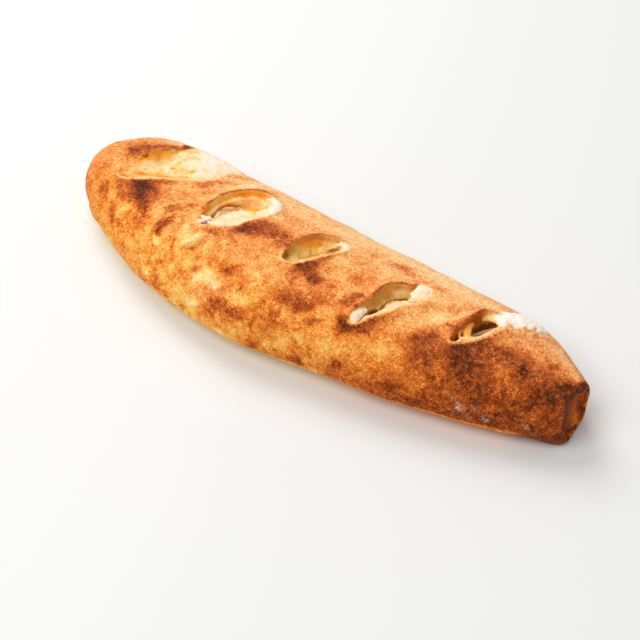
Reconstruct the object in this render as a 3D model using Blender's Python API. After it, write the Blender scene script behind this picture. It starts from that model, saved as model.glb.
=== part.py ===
"""A baked stromboli: a long rolled loaf of pizza dough, bowed a little along
its length, closed round at the -X end and folded shut at the +X end, with
five slanting vents across its top through which the cheese filling shows.

Frame: X runs along the loaf, +X towards the folded end, Y runs across it, +Z
is up. The origin is on the underside, in the middle of the loaf's box.
"""

import math

import bmesh
import bpy
from mathutils import Vector

MM = 0.001

# ---------------------------------------------------------------- loaf size
LENGTH = 394.0          # end to end
ROUND_END = -0.5 * LENGTH
FOLD_END = 0.5 * LENGTH
MAX_HALF_WIDTH = 60.0
MAX_HEIGHT = 50.5
WIDEST_AT = 0.36        # height of the widest line, as a share of the height
UNDERSIDE = 1.25        # below it the side turns in and meets the flat base
SQUARENESS = 0.92       # exponent of the rounded section

# Stations along the loaf: distance from the round end, half width, offset of
# the middle line (the bow) and height.
STATIONS = (
    (0.0, 0.0, 12.0, 26.0),
    (10.0, 20.5, 13.5, 38.0),
    (22.0, 32.0, 15.5, 43.0),
    (38.0, 43.0, 15.5, 45.5),
    (68.0, 53.0, 11.0, 45.5),
    (103.0, 57.5, 3.5, 45.5),
    (143.0, MAX_HALF_WIDTH, -2.0, 47.5),
    (188.0, 58.5, -6.0, MAX_HEIGHT),
    (238.0, 54.0, -4.5, 49.0),
    (288.0, 49.5, -1.5, 46.5),
    (328.0, 44.0, 2.0, 44.5),
    (358.0, 36.5, 3.0, 41.5),
    (378.0, 26.5, 1.0, 39.5),
    (388.0, 19.0, -0.5, 38.5),
    (394.0, 13.5, -1.5, 38.0),
)
BOW_CENTRE = 0.33       # puts the box's middle on the X axis
TIP_LIFT = 14.0         # the round tip's middle stands this far off the base
TIP_REACH = 16.0        # and the underside is down flat this far in

# ------------------------------------------------------------ dough and gap
DOUGH_TOP = 5.0         # dough thickness over the filling
DOUGH_SIDE = 7.0
DOUGH_BASE = 5.0
DOUGH_END = 16.0        # solid dough at the two ends
GAP = 0.3               # clearance between the dough and the filling

# ------------------------------------------------------------------- vents
# Each vent is a slit that opened in baking: its two ends (X, Y), then how far
# its upper lip and its lower lip bow away from the line between the ends. A
# minus sign bows the lower lip the same way as the upper one.
VENTS = (
    ((-147.0, -9.0), (-79.0, 45.0), 26.0, 8.0),
    ((-71.0, -18.0), (-33.0, 26.0), 19.5, 8.0),
    ((-3.5, -17.5), (26.5, 14.5), 12.5, 6.0),
    ((59.0, -35.5), (89.0, 11.0), 12.0, 5.0),
    ((115.0, -14.0), (153.0, 20.0), 16.5, -3.0),
)
VENT_TIPS = 0.80        # below 1 the slit's ends are blunt, above 1 sharp
VENT_BLUNT = 0.98       # 1 would bring each end to a point
VENT_TAPER = 0.80       # width at the filling as a share of the width on top
UPPER_LIP = 3.0         # the upper lip lifts by this much, the lower by less
LOWER_LIP = 1.0
LIP_WIDTH = 6.0
VENT_SIDES = 10         # points along each side of a slit

# ------------------------------------------------------------- folded end
FOLD_RIM = 3.2          # the dough's edge round the tucked-in end
FOLD_DEPTH = 7.0        # how far the tuck goes in
FOLD_SLANT = 2.0        # the upper flap reaches this far past the lower edge

# ------------------------------------------------------------- surface mesh
RINGS = 74
TOP_POINTS = 25         # ring points above the widest line, and below it
BASE_POINTS = 11
INNER_RINGS = 38
INNER_POINTS = 18


def smooth_between(x, xs, ys):
    """Monotone cubic through the points, so that the loaf has no dents."""
    n = len(xs)
    h = [xs[i + 1] - xs[i] for i in range(n - 1)]
    d = [(ys[i + 1] - ys[i]) / h[i] for i in range(n - 1)]
    m = [d[0]] + [0.0] * (n - 2) + [d[-1]]
    for i in range(1, n - 1):
        if d[i - 1] * d[i] > 0:
            w1, w2 = 2 * h[i] + h[i - 1], h[i] + 2 * h[i - 1]
            m[i] = (w1 + w2) / (w1 / d[i - 1] + w2 / d[i])
    x = min(max(x, xs[0]), xs[-1])
    i = max(k for k in range(n - 1) if xs[k] <= x)
    t = (x - xs[i]) / h[i]
    return (
        (2 * t**3 - 3 * t**2 + 1) * ys[i]
        + (t**3 - 2 * t**2 + t) * h[i] * m[i]
        + (3 * t**2 - 2 * t**3) * ys[i + 1]
        + (t**3 - t**2) * h[i] * m[i + 1]
    )


def half_width(x):
    """Its square is interpolated, which rounds the closed end."""
    s = x - ROUND_END
    squares = [w * w for _, w, _, _ in STATIONS]
    return math.sqrt(max(0.0, smooth_between(s, [p[0] for p in STATIONS], squares)))


def bow(x):
    s = x - ROUND_END
    middle = smooth_between(s, [p[0] for p in STATIONS], [p[2] for p in STATIONS])
    return middle + BOW_CENTRE


def height(x):
    s = x - ROUND_END
    return smooth_between(s, [p[0] for p in STATIONS], [p[3] for p in STATIONS])


def tip(x):
    """0 at the round tip, 1 from TIP_REACH on, with a round start."""
    s = min(max((x - ROUND_END) / TIP_REACH, 0.0), 1.0)
    return math.sqrt(max(0.0, 1.0 - (1.0 - s) ** 2))


def vent_outline(x, y, vent, grow=0.0):
    """Distance of a plan point outside (+) or inside (-) a vent's outline,
    and 1 on the upper lip's side of the slit, 0 on the lower lip's."""
    (x0, y0), (x1, y1), upper, lower = vent
    length = math.hypot(x1 - x0, y1 - y0)
    c, s = (x1 - x0) / length, (y1 - y0) / length
    u = (x - 0.5 * (x0 + x1)) * c + (y - 0.5 * (y0 + y1)) * s
    v = -(x - 0.5 * (x0 + x1)) * s + (y - 0.5 * (y0 + y1)) * c
    half = 0.5 * length + grow
    t = min(max(u / half, -1.0), 1.0)
    arch = (1.0 - t * t) ** VENT_TIPS
    d = max(v - (upper + grow) * arch, -(lower + grow) * arch - v)
    if d > 0.0 or abs(u) > half:
        d = math.hypot(max(0.0, abs(u) - half), max(d, 0.0))
    return d, 0.5 + 0.5 * math.tanh((v - 0.5 * (upper - lower)) / 4.0)


def section_point(x, angle, inset=(0.0, 0.0, 0.0)):
    """A point of the loaf's skin at station x, or inset from it towards the
    inside by (side, top, base). Angle 0 is the +Y side, 90 degrees the top."""
    side, top, base = inset
    round_end = tip(x)
    mid = TIP_LIFT + (WIDEST_AT * height(x) - TIP_LIFT) * round_end
    up = max(height(x) - mid, 1.0) * round_end - top
    down = UNDERSIDE * mid * round_end
    wide = half_width(x) - side
    c, s = math.cos(angle), math.sin(angle)
    y = bow(x) + wide * math.copysign(abs(c) ** SQUARENESS, c)
    rise = math.copysign(abs(s) ** SQUARENESS, s)
    z = mid + (up * rise if s > 0 else down * rise)
    floor = base if round_end >= 0.999 or base else 0.0
    return Vector((x, y, max(z, floor)))


def lip_rise(x, y):
    rise = 0.0
    for vent in VENTS:
        d, side = vent_outline(x, y, vent)
        lip = LOWER_LIP + (UPPER_LIP - LOWER_LIP) * side
        rise = max(rise, lip * math.exp(-((max(d, 0.0) / LIP_WIDTH) ** 2)))
    return rise


def loft(rings, name):
    """One closed mesh through rings of equal count, capped at both ends."""
    mesh = bmesh.new()
    loops = [[mesh.verts.new(p * MM) for p in ring] for ring in rings]
    for low, high in zip(loops, loops[1:]):
        for k in range(len(low)):
            j = (k + 1) % len(low)
            mesh.faces.new((low[k], low[j], high[j], high[k]))
    mesh.faces.new(list(reversed(loops[0])))
    last = mesh.faces.new(loops[-1])
    return mesh, last


def finish_object(mesh, name, material=None):
    bmesh.ops.recalc_face_normals(mesh, faces=mesh.faces)
    data = bpy.data.meshes.new(name)
    mesh.to_mesh(data)
    mesh.free()
    obj = bpy.data.objects.new(name, data)
    bpy.context.scene.collection.objects.link(obj)
    if material is None:
        obj.hide_render = True
        obj.display_type = "WIRE"
    else:
        data.materials.append(material)
        data.shade_smooth()
        data.set_sharp_from_angle(angle=math.radians(50.0))
    return obj


def dough_and_filling_material(name, colour, roughness):
    material = bpy.data.materials.new(name)
    material.use_nodes = True
    shader = material.node_tree.nodes["Principled BSDF"]
    shader.inputs["Base Color"].default_value = (*colour, 1.0)
    shader.inputs["Roughness"].default_value = roughness
    shader.inputs["Metallic"].default_value = 0.0
    return material


def ring_angles(above, below):
    """Angles round the ring, closer together above the widest line."""
    return [math.pi * (k + 0.5) / above for k in range(above)] + [
        math.pi + math.pi * (k + 0.5) / below for k in range(below)
    ]


def stations(start, end, count, start_crowding):
    """Stations that crowd towards the round end."""
    return [
        start + (end - start) * (k / (count - 1.0)) ** start_crowding
        for k in range(count)
    ]


def build_loaf():
    angles = ring_angles(TOP_POINTS, BASE_POINTS)
    xs = stations(ROUND_END + 0.1, FOLD_END, RINGS, 1.18)
    rings = []
    for x in xs:
        ring = []
        # The last stations lean, so that the upper flap overhangs.
        lean = FOLD_SLANT * max(0.0, (x - (FOLD_END - 40.0)) / 40.0) ** 2
        for angle in angles:
            p = section_point(x, angle)
            if p.z > 0.5 * height(x):
                p.z += lip_rise(p.x, p.y)
            p.x += lean * (p.z / height(x) - 1.0)
            ring.append(p)
        rings.append(ring)
    mesh, end_face = loft(rings, "crust")
    # The end is tucked in: a rim of dough round a sunk face.
    bmesh.ops.inset_region(
        mesh, faces=[end_face], thickness=FOLD_RIM * MM, use_even_offset=True
    )
    middle = end_face.calc_center_median()
    for v in end_face.verts:
        v.co.x -= FOLD_DEPTH * MM
        v.co.y = middle.y + (v.co.y - middle.y) * 0.86
        v.co.z = middle.z + (v.co.z - middle.z) * 0.86
    bmesh.ops.triangulate(mesh, faces=[f for f in mesh.faces if len(f.verts) > 4])
    return mesh


def inner_rings(clearance, dip):
    """Rings of the space inside the dough, or of the filling in it."""
    side = DOUGH_SIDE + clearance
    top = DOUGH_TOP + clearance
    base = DOUGH_BASE + clearance
    start = ROUND_END + DOUGH_END + clearance
    end = FOLD_END - FOLD_DEPTH - DOUGH_END * 0.75 - clearance
    rings = []
    for x in stations(start, end, INNER_RINGS, 1.0):
        # Both ends of the inside are rounded off.
        near = min((x - start) / 16.0, (end - x) / 16.0, 1.0)
        squeeze = 0.35 + 0.65 * math.sqrt(max(0.0, 1.0 - (1.0 - near) ** 2))
        ring = []
        middle_z = 0.5 * (height(x) - top + base)
        for angle in ring_angles(INNER_POINTS // 2, INNER_POINTS // 2):
            p = section_point(x, angle, (side, top, base))
            p.y = bow(x) + (p.y - bow(x)) * squeeze
            p.z = middle_z + (p.z - middle_z) * squeeze
            if dip and p.z > middle_z:
                for vent in VENTS:
                    d, _ = vent_outline(p.x, p.y, vent, 3.0)
                    if d < 0.0:
                        p.z -= dip * min(1.0, -d / 5.0)
            ring.append(p)
        rings.append(ring)
    return rings


def build_vent_cutters():
    """Pointed prisms, narrower below, from the hollow to above the top."""
    mesh = bmesh.new()
    for (x0, y0), (x1, y1), upper, lower in VENTS:
        length = math.hypot(x1 - x0, y1 - y0)
        c, s = (x1 - x0) / length, (y1 - y0) / length
        cx, cy = 0.5 * (x0 + x1), 0.5 * (y0 + y1)
        top_z = height(cx) + 14.0
        low_z = 0.5 * height(cx)
        along = [-math.cos(math.pi * k / VENT_SIDES) for k in range(VENT_SIDES + 1)]
        # The ends are a little blunt, as torn dough is.
        side = [(u, (1.0 - VENT_BLUNT * u * u) ** VENT_TIPS) for u in along]
        plan = [(u, -lower * v) for u, v in side]
        plan += [(u, upper * v) for u, v in reversed(side)]
        loops = []
        for z, share in ((low_z, VENT_TAPER), (top_z, 1.0)):
            loop = []
            for u, v in plan:
                pu = 0.5 * length * u * (0.5 + 0.5 * share)
                pv = v * share
                loop.append(
                    mesh.verts.new(
                        Vector((cx + pu * c - pv * s, cy + pu * s + pv * c, z)) * MM
                    )
                )
            loops.append(loop)
        for k in range(len(plan)):
            j = (k + 1) % len(plan)
            mesh.faces.new((loops[0][k], loops[0][j], loops[1][j], loops[1][k]))
        mesh.faces.new(list(reversed(loops[0])))
        mesh.faces.new(loops[1])
    return mesh


def cut(obj, cutter):
    modifier = obj.modifiers.new("Cut " + cutter.name, "BOOLEAN")
    modifier.operation = "DIFFERENCE"
    modifier.solver = "EXACT"
    modifier.object = cutter


def main():
    for obj in list(bpy.data.objects):
        bpy.data.objects.remove(obj, do_unlink=True)

    baked = dough_and_filling_material("crust", (0.62, 0.27, 0.075), 0.62)
    cheese = dough_and_filling_material("filling", (0.84, 0.66, 0.36), 0.45)

    crust = finish_object(build_loaf(), "crust", baked)
    hollow_mesh, _ = loft(inner_rings(0.0, 0.0), "hollow")
    hollow = finish_object(hollow_mesh, "hollow")
    vents = finish_object(build_vent_cutters(), "vents")
    cut(crust, hollow)
    cut(crust, vents)

    filling_mesh, _ = loft(inner_rings(GAP, 4.0), "filling")
    finish_object(filling_mesh, "filling", cheese)


main()
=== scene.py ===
"""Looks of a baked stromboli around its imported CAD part: the crust and the
filling are meshed from one solid description of the loaf, so that lips, torn
dough, blisters and the folded end are real shapes. Lengths here are in mm.
"""

import math
import time

import bpy
import numpy as np
from mathutils import Matrix


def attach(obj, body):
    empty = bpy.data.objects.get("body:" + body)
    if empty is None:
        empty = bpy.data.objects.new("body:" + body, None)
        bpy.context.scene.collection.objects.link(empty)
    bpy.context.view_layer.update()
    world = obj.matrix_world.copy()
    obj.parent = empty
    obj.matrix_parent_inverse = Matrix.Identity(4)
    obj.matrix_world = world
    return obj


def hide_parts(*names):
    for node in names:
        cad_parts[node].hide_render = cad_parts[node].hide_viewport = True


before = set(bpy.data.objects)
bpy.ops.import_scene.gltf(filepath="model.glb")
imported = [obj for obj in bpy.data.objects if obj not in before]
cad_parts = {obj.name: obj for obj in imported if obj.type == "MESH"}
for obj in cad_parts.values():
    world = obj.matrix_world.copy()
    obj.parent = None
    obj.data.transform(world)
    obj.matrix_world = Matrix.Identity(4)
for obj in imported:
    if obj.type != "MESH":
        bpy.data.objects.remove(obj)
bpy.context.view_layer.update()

MM = 0.001
STARTED = time.perf_counter()
VOXEL = 0.85
FILL_VOXEL = 0.9
CRUST_TRIANGLES = 192000
FILLING_TRIANGLES = 180000

# ------------------------------------------------------------- loaf profile
LENGTH = 394.0
ROUND_END = -0.5 * LENGTH
FOLD_END = 0.5 * LENGTH
WIDEST_AT = 0.36
UNDERSIDE = 1.25
TIP_LIFT = 14.0
TIP_REACH = 16.0
BOW_CENTRE = 0.33
POWER = 2.0 / 0.92
# Distance from the round end, half width, bow, height: as in the CAD part.
STATIONS = (
    (0.0, 0.0, 12.0, 26.0),
    (10.0, 20.5, 13.5, 38.0),
    (22.0, 32.0, 15.5, 43.0),
    (38.0, 43.0, 15.5, 45.5),
    (68.0, 53.0, 11.0, 45.5),
    (103.0, 57.5, 3.5, 45.5),
    (143.0, 60.0, -2.0, 47.5),
    (188.0, 58.5, -6.0, 50.5),
    (238.0, 54.0, -4.5, 49.0),
    (288.0, 49.5, -1.5, 46.5),
    (328.0, 44.0, 2.0, 44.5),
    (358.0, 36.5, 3.0, 41.5),
    (378.0, 26.5, 1.0, 39.5),
    (388.0, 19.0, -0.5, 38.5),
    (394.0, 13.5, -1.5, 38.0),
)


def monotone(x, xs, ys):
    """Monotone cubic through the points."""
    xs, ys = np.asarray(xs, float), np.asarray(ys, float)
    h = np.diff(xs)
    d = np.diff(ys) / h
    m = np.zeros(len(xs))
    m[0], m[-1] = d[0], d[-1]
    for i in range(1, len(xs) - 1):
        if d[i - 1] * d[i] > 0:
            w1, w2 = 2 * h[i] + h[i - 1], h[i] + 2 * h[i - 1]
            m[i] = (w1 + w2) / (w1 / d[i - 1] + w2 / d[i])
    x = np.clip(x, xs[0], xs[-1])
    i = np.clip(np.searchsorted(xs, x, side="right") - 1, 0, len(xs) - 2)
    t = (x - xs[i]) / h[i]
    return (
        (2 * t**3 - 3 * t**2 + 1) * ys[i]
        + (t**3 - 2 * t**2 + t) * h[i] * m[i]
        + (3 * t**2 - 2 * t**3) * ys[i + 1]
        + (t**3 - t**2) * h[i] * m[i + 1]
    )


def smooth(a, b, x):
    t = np.clip((x - a) / (b - a), 0.0, 1.0)
    return t * t * (3.0 - 2.0 * t)


def smin(a, b, k):
    h = np.clip(0.5 + 0.5 * (b - a) / k, 0.0, 1.0)
    return b + (a - b) * h - k * h * (1.0 - h)


def smax(a, b, k):
    return -smin(-a, -b, k)


XT = np.arange(-216.0, 216.01, 0.25)


def profile_tables():
    s = XT - ROUND_END
    at = [p[0] for p in STATIONS]
    area = monotone(s, at, [p[1] ** 2 for p in STATIONS])
    slope = monotone(np.array([0.5]), at, [p[1] ** 2 for p in STATIONS])[0] / 0.5
    area = np.where(s < 0, s * slope, area)
    bow = monotone(s, at, [p[2] for p in STATIONS]) + BOW_CENTRE
    tall = monotone(s, at, [p[3] for p in STATIONS])
    near = np.clip(s / TIP_REACH, 0.0, 1.0)
    tip = np.sqrt(np.maximum(0.0, 1.0 - (1.0 - near) ** 2))
    mid = TIP_LIFT + (WIDEST_AT * tall - TIP_LIFT) * tip
    up = np.maximum(tall - mid, 1.0) * tip
    down = UNDERSIDE * mid * tip
    wide = np.sqrt(np.maximum(area, 0.0))
    ok = s > 0.6
    ku = np.where(ok, wide / np.maximum(up, 1e-3), 0.0)
    kd = np.where(ok, wide / np.maximum(down, 1e-3), 0.0)
    first = int(np.argmax(ok))
    ku[:first], kd[:first] = ku[first], kd[first]
    return area, bow, mid, ku, kd, tall


AREA, BOW, MID, KU, KD, TALL = profile_tables()
D_AREA = np.gradient(AREA, XT)
D_BOW = np.gradient(BOW, XT)
D_MID = np.gradient(MID, XT)


def skin(x, y, z):
    """Distance to the loaf's smooth skin, below 0 inside. The base is apart."""
    area, bow, mid = (np.interp(x, XT, t) for t in (AREA, BOW, MID))
    d_area, d_bow, d_mid = (np.interp(x, XT, t) for t in (D_AREA, D_BOW, D_MID))
    yy, zz = y - bow, z - mid
    k = np.where(zz > 0, np.interp(x, XT, KU), np.interp(x, XT, KD))
    ay, az = np.abs(yy), k * np.abs(zz)
    q = np.maximum(ay**POWER + az**POWER, 1e-9)
    big = q ** (2.0 / POWER)
    g = 2.0 * q ** (2.0 / POWER - 1.0)
    gy = g * ay ** (POWER - 1.0)
    gz = g * az ** (POWER - 1.0) * k
    gx = d_area + np.sign(yy) * gy * d_bow + np.sign(zz) * gz * d_mid
    slope = np.sqrt(gx * gx + gy * gy + gz * gz + 1e-6)
    r, rim = np.sqrt(big), np.sqrt(np.maximum(area, 0.0))
    mean = (np.maximum(r, 0.2 * rim) + rim) / (2.0 * np.maximum(r, 0.2 * rim + 1e-3))
    even = 1.0 + smooth(-190.0, -165.0, x) * (mean - 1.0)
    return (big - area) / (slope * even)


# Arc length round the section from the top line, for painting the skin.
ARC_X = np.arange(-198.0, 200.1, 4.0)
ARC_T = np.linspace(0.0, np.pi, 181)


def arc_table():
    table = np.zeros((len(ARC_X), len(ARC_T)))
    for i, x in enumerate(ARC_X):
        area, mid = np.interp(x, XT, AREA), np.interp(x, XT, MID)
        wide = math.sqrt(max(area, 1.0))
        up = wide / np.interp(x, XT, KU)
        down = wide / np.interp(x, XT, KD)
        yy = wide * np.sin(ARC_T) ** 0.92
        c = np.cos(ARC_T)
        zz = mid + np.where(c > 0, up, down) * np.sign(c) * np.abs(c) ** 0.92
        table[i, 1:] = np.cumsum(np.hypot(np.diff(yy), np.diff(zz)))
    return table


ARC = arc_table()


def unroll(x, y, z):
    """Signed arc length from the top line, + towards the -Y side."""
    area, bow, mid = (np.interp(x, XT, t) for t in (AREA, BOW, MID))
    wide = np.sqrt(np.maximum(area, 1.0))
    yy, zz = y - bow, z - mid
    k = np.where(zz > 0, np.interp(x, XT, KU), np.interp(x, XT, KD))
    c = np.sign(zz) * (np.abs(zz) * k / wide) ** (1 / 0.92)
    s = (np.abs(yy) / wide) ** (1 / 0.92)
    t = np.arctan2(s, c)
    fi = np.clip((x - ARC_X[0]) / 4.0, 0, len(ARC_X) - 1.001)
    fj = np.clip(t / (np.pi / 180), 0, 179.999)
    i, j = fi.astype(int), fj.astype(int)
    a, b = fi - i, fj - j
    arc = (ARC[i, j] * (1 - b) + ARC[i, j + 1] * b) * (1 - a) + (
        ARC[i + 1, j] * (1 - b) + ARC[i + 1, j + 1] * b
    ) * a
    return -np.sign(yy) * arc


# -------------------------------------------------------------------- noise
class Noise:
    """Smooth gradient noise of about -1 to 1."""

    def __init__(self, seed):
        rng = np.random.default_rng(seed)
        self.perm = rng.permutation(256).astype(np.int32)
        g = rng.normal(size=(256, 3))
        self.grad = (g / np.linalg.norm(g, axis=1)[:, None]).astype(np.float32)

    def __call__(self, p, size):
        q = (p / size).astype(np.float32)
        i = np.floor(q)
        f = q - i
        i = i.astype(np.int32) & 255
        w = f * f * f * (f * (f * 6 - 15) + 10)
        total = np.zeros(len(p), np.float32)
        for dx in (0, 1):
            hx = self.perm[(i[:, 0] + dx) & 255]
            wx = w[:, 0] if dx else 1 - w[:, 0]
            for dy in (0, 1):
                hy = self.perm[(hx + i[:, 1] + dy) & 255]
                wy = wx * (w[:, 1] if dy else 1 - w[:, 1])
                for dz in (0, 1):
                    g = self.grad[self.perm[(hy + i[:, 2] + dz) & 255]]
                    dot = (
                        g[:, 0] * (f[:, 0] - dx)
                        + g[:, 1] * (f[:, 1] - dy)
                        + g[:, 2] * (f[:, 2] - dz)
                    )
                    total += dot * wy * (w[:, 2] if dz else 1 - w[:, 2])
        return 1.7 * total

    def rough(self, p, size, octaves=3, gain=0.5):
        total, share, norm = 0.0, 1.0, 0.0
        for k in range(octaves):
            total = total + share * self(p + 37.0 * k, size / 2.03**k)
            norm += share
            share *= gain
        return total / norm


N1, N2, N3, N4, N5 = (Noise(s) for s in (11, 23, 37, 53, 71))


def flat3(a, b, c=0.0):
    return np.stack([a, b, np.broadcast_to(c, np.shape(a))], axis=1)


# -------------------------------------------------------------------- vents
def chain(p, points):
    """Distance from 2-D points p to a polyline, and how far along it, 0 to 1."""
    points = np.asarray(points, float)
    best = np.full(len(p), 1e9)
    where = np.zeros(len(p))
    steps = np.hypot(*np.diff(points, axis=0).T)
    total, run = steps.sum(), 0.0
    for a, b, step in zip(points, points[1:], steps):
        ab = b - a
        t = np.clip(((p - a) @ ab) / max(step * step, 1e-9), 0.0, 1.0)
        d = np.hypot(*(p - a - t[:, None] * ab).T)
        near = d < best
        best = np.where(near, d, best)
        where = np.where(near, (run + t * step) / total, where)
        run += step
    return best, where


def rounded(points, closed, per=6):
    """Catmull-Rom curve through the points."""
    p = np.asarray(points, float)
    n = len(p)
    out = []
    for i in range(n if closed else n - 1):
        if closed:
            a, b, c, d = (p[(i + k) % n] for k in (-1, 0, 1, 2))
        else:
            a, b, c, d = p[max(i - 1, 0)], p[i], p[i + 1], p[min(i + 2, n - 1)]
        for k in range(per):
            t = k / per
            out.append(
                0.5
                * (
                    2 * b
                    + (c - a) * t
                    + (2 * a - 5 * b + 4 * c - d) * t**2
                    + (3 * b - a - 3 * c + d) * t**3
                )
            )
    if not closed:
        out.append(p[-1])
    return np.array(out)


def ellipse(x, w, cx, cw, ra, rb, turn):
    t = math.radians(turn)
    dx, dw = x - cx, w - cw
    return (
        (dx * math.cos(t) + dw * math.sin(t)) / ra,
        (-dx * math.sin(t) + dw * math.cos(t)) / rb,
    )


def inside(p, polygon):
    hit = np.zeros(len(p), bool)
    for a, b in zip(polygon, np.roll(polygon, -1, axis=0)):
        crosses = (a[1] > p[:, 1]) != (b[1] > p[:, 1])
        at = a[0] + (p[:, 1] - a[1]) * (b[0] - a[0]) / (b[1] - a[1] + 1e-12)
        hit ^= crosses & (p[:, 0] < at)
    return hit


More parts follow.
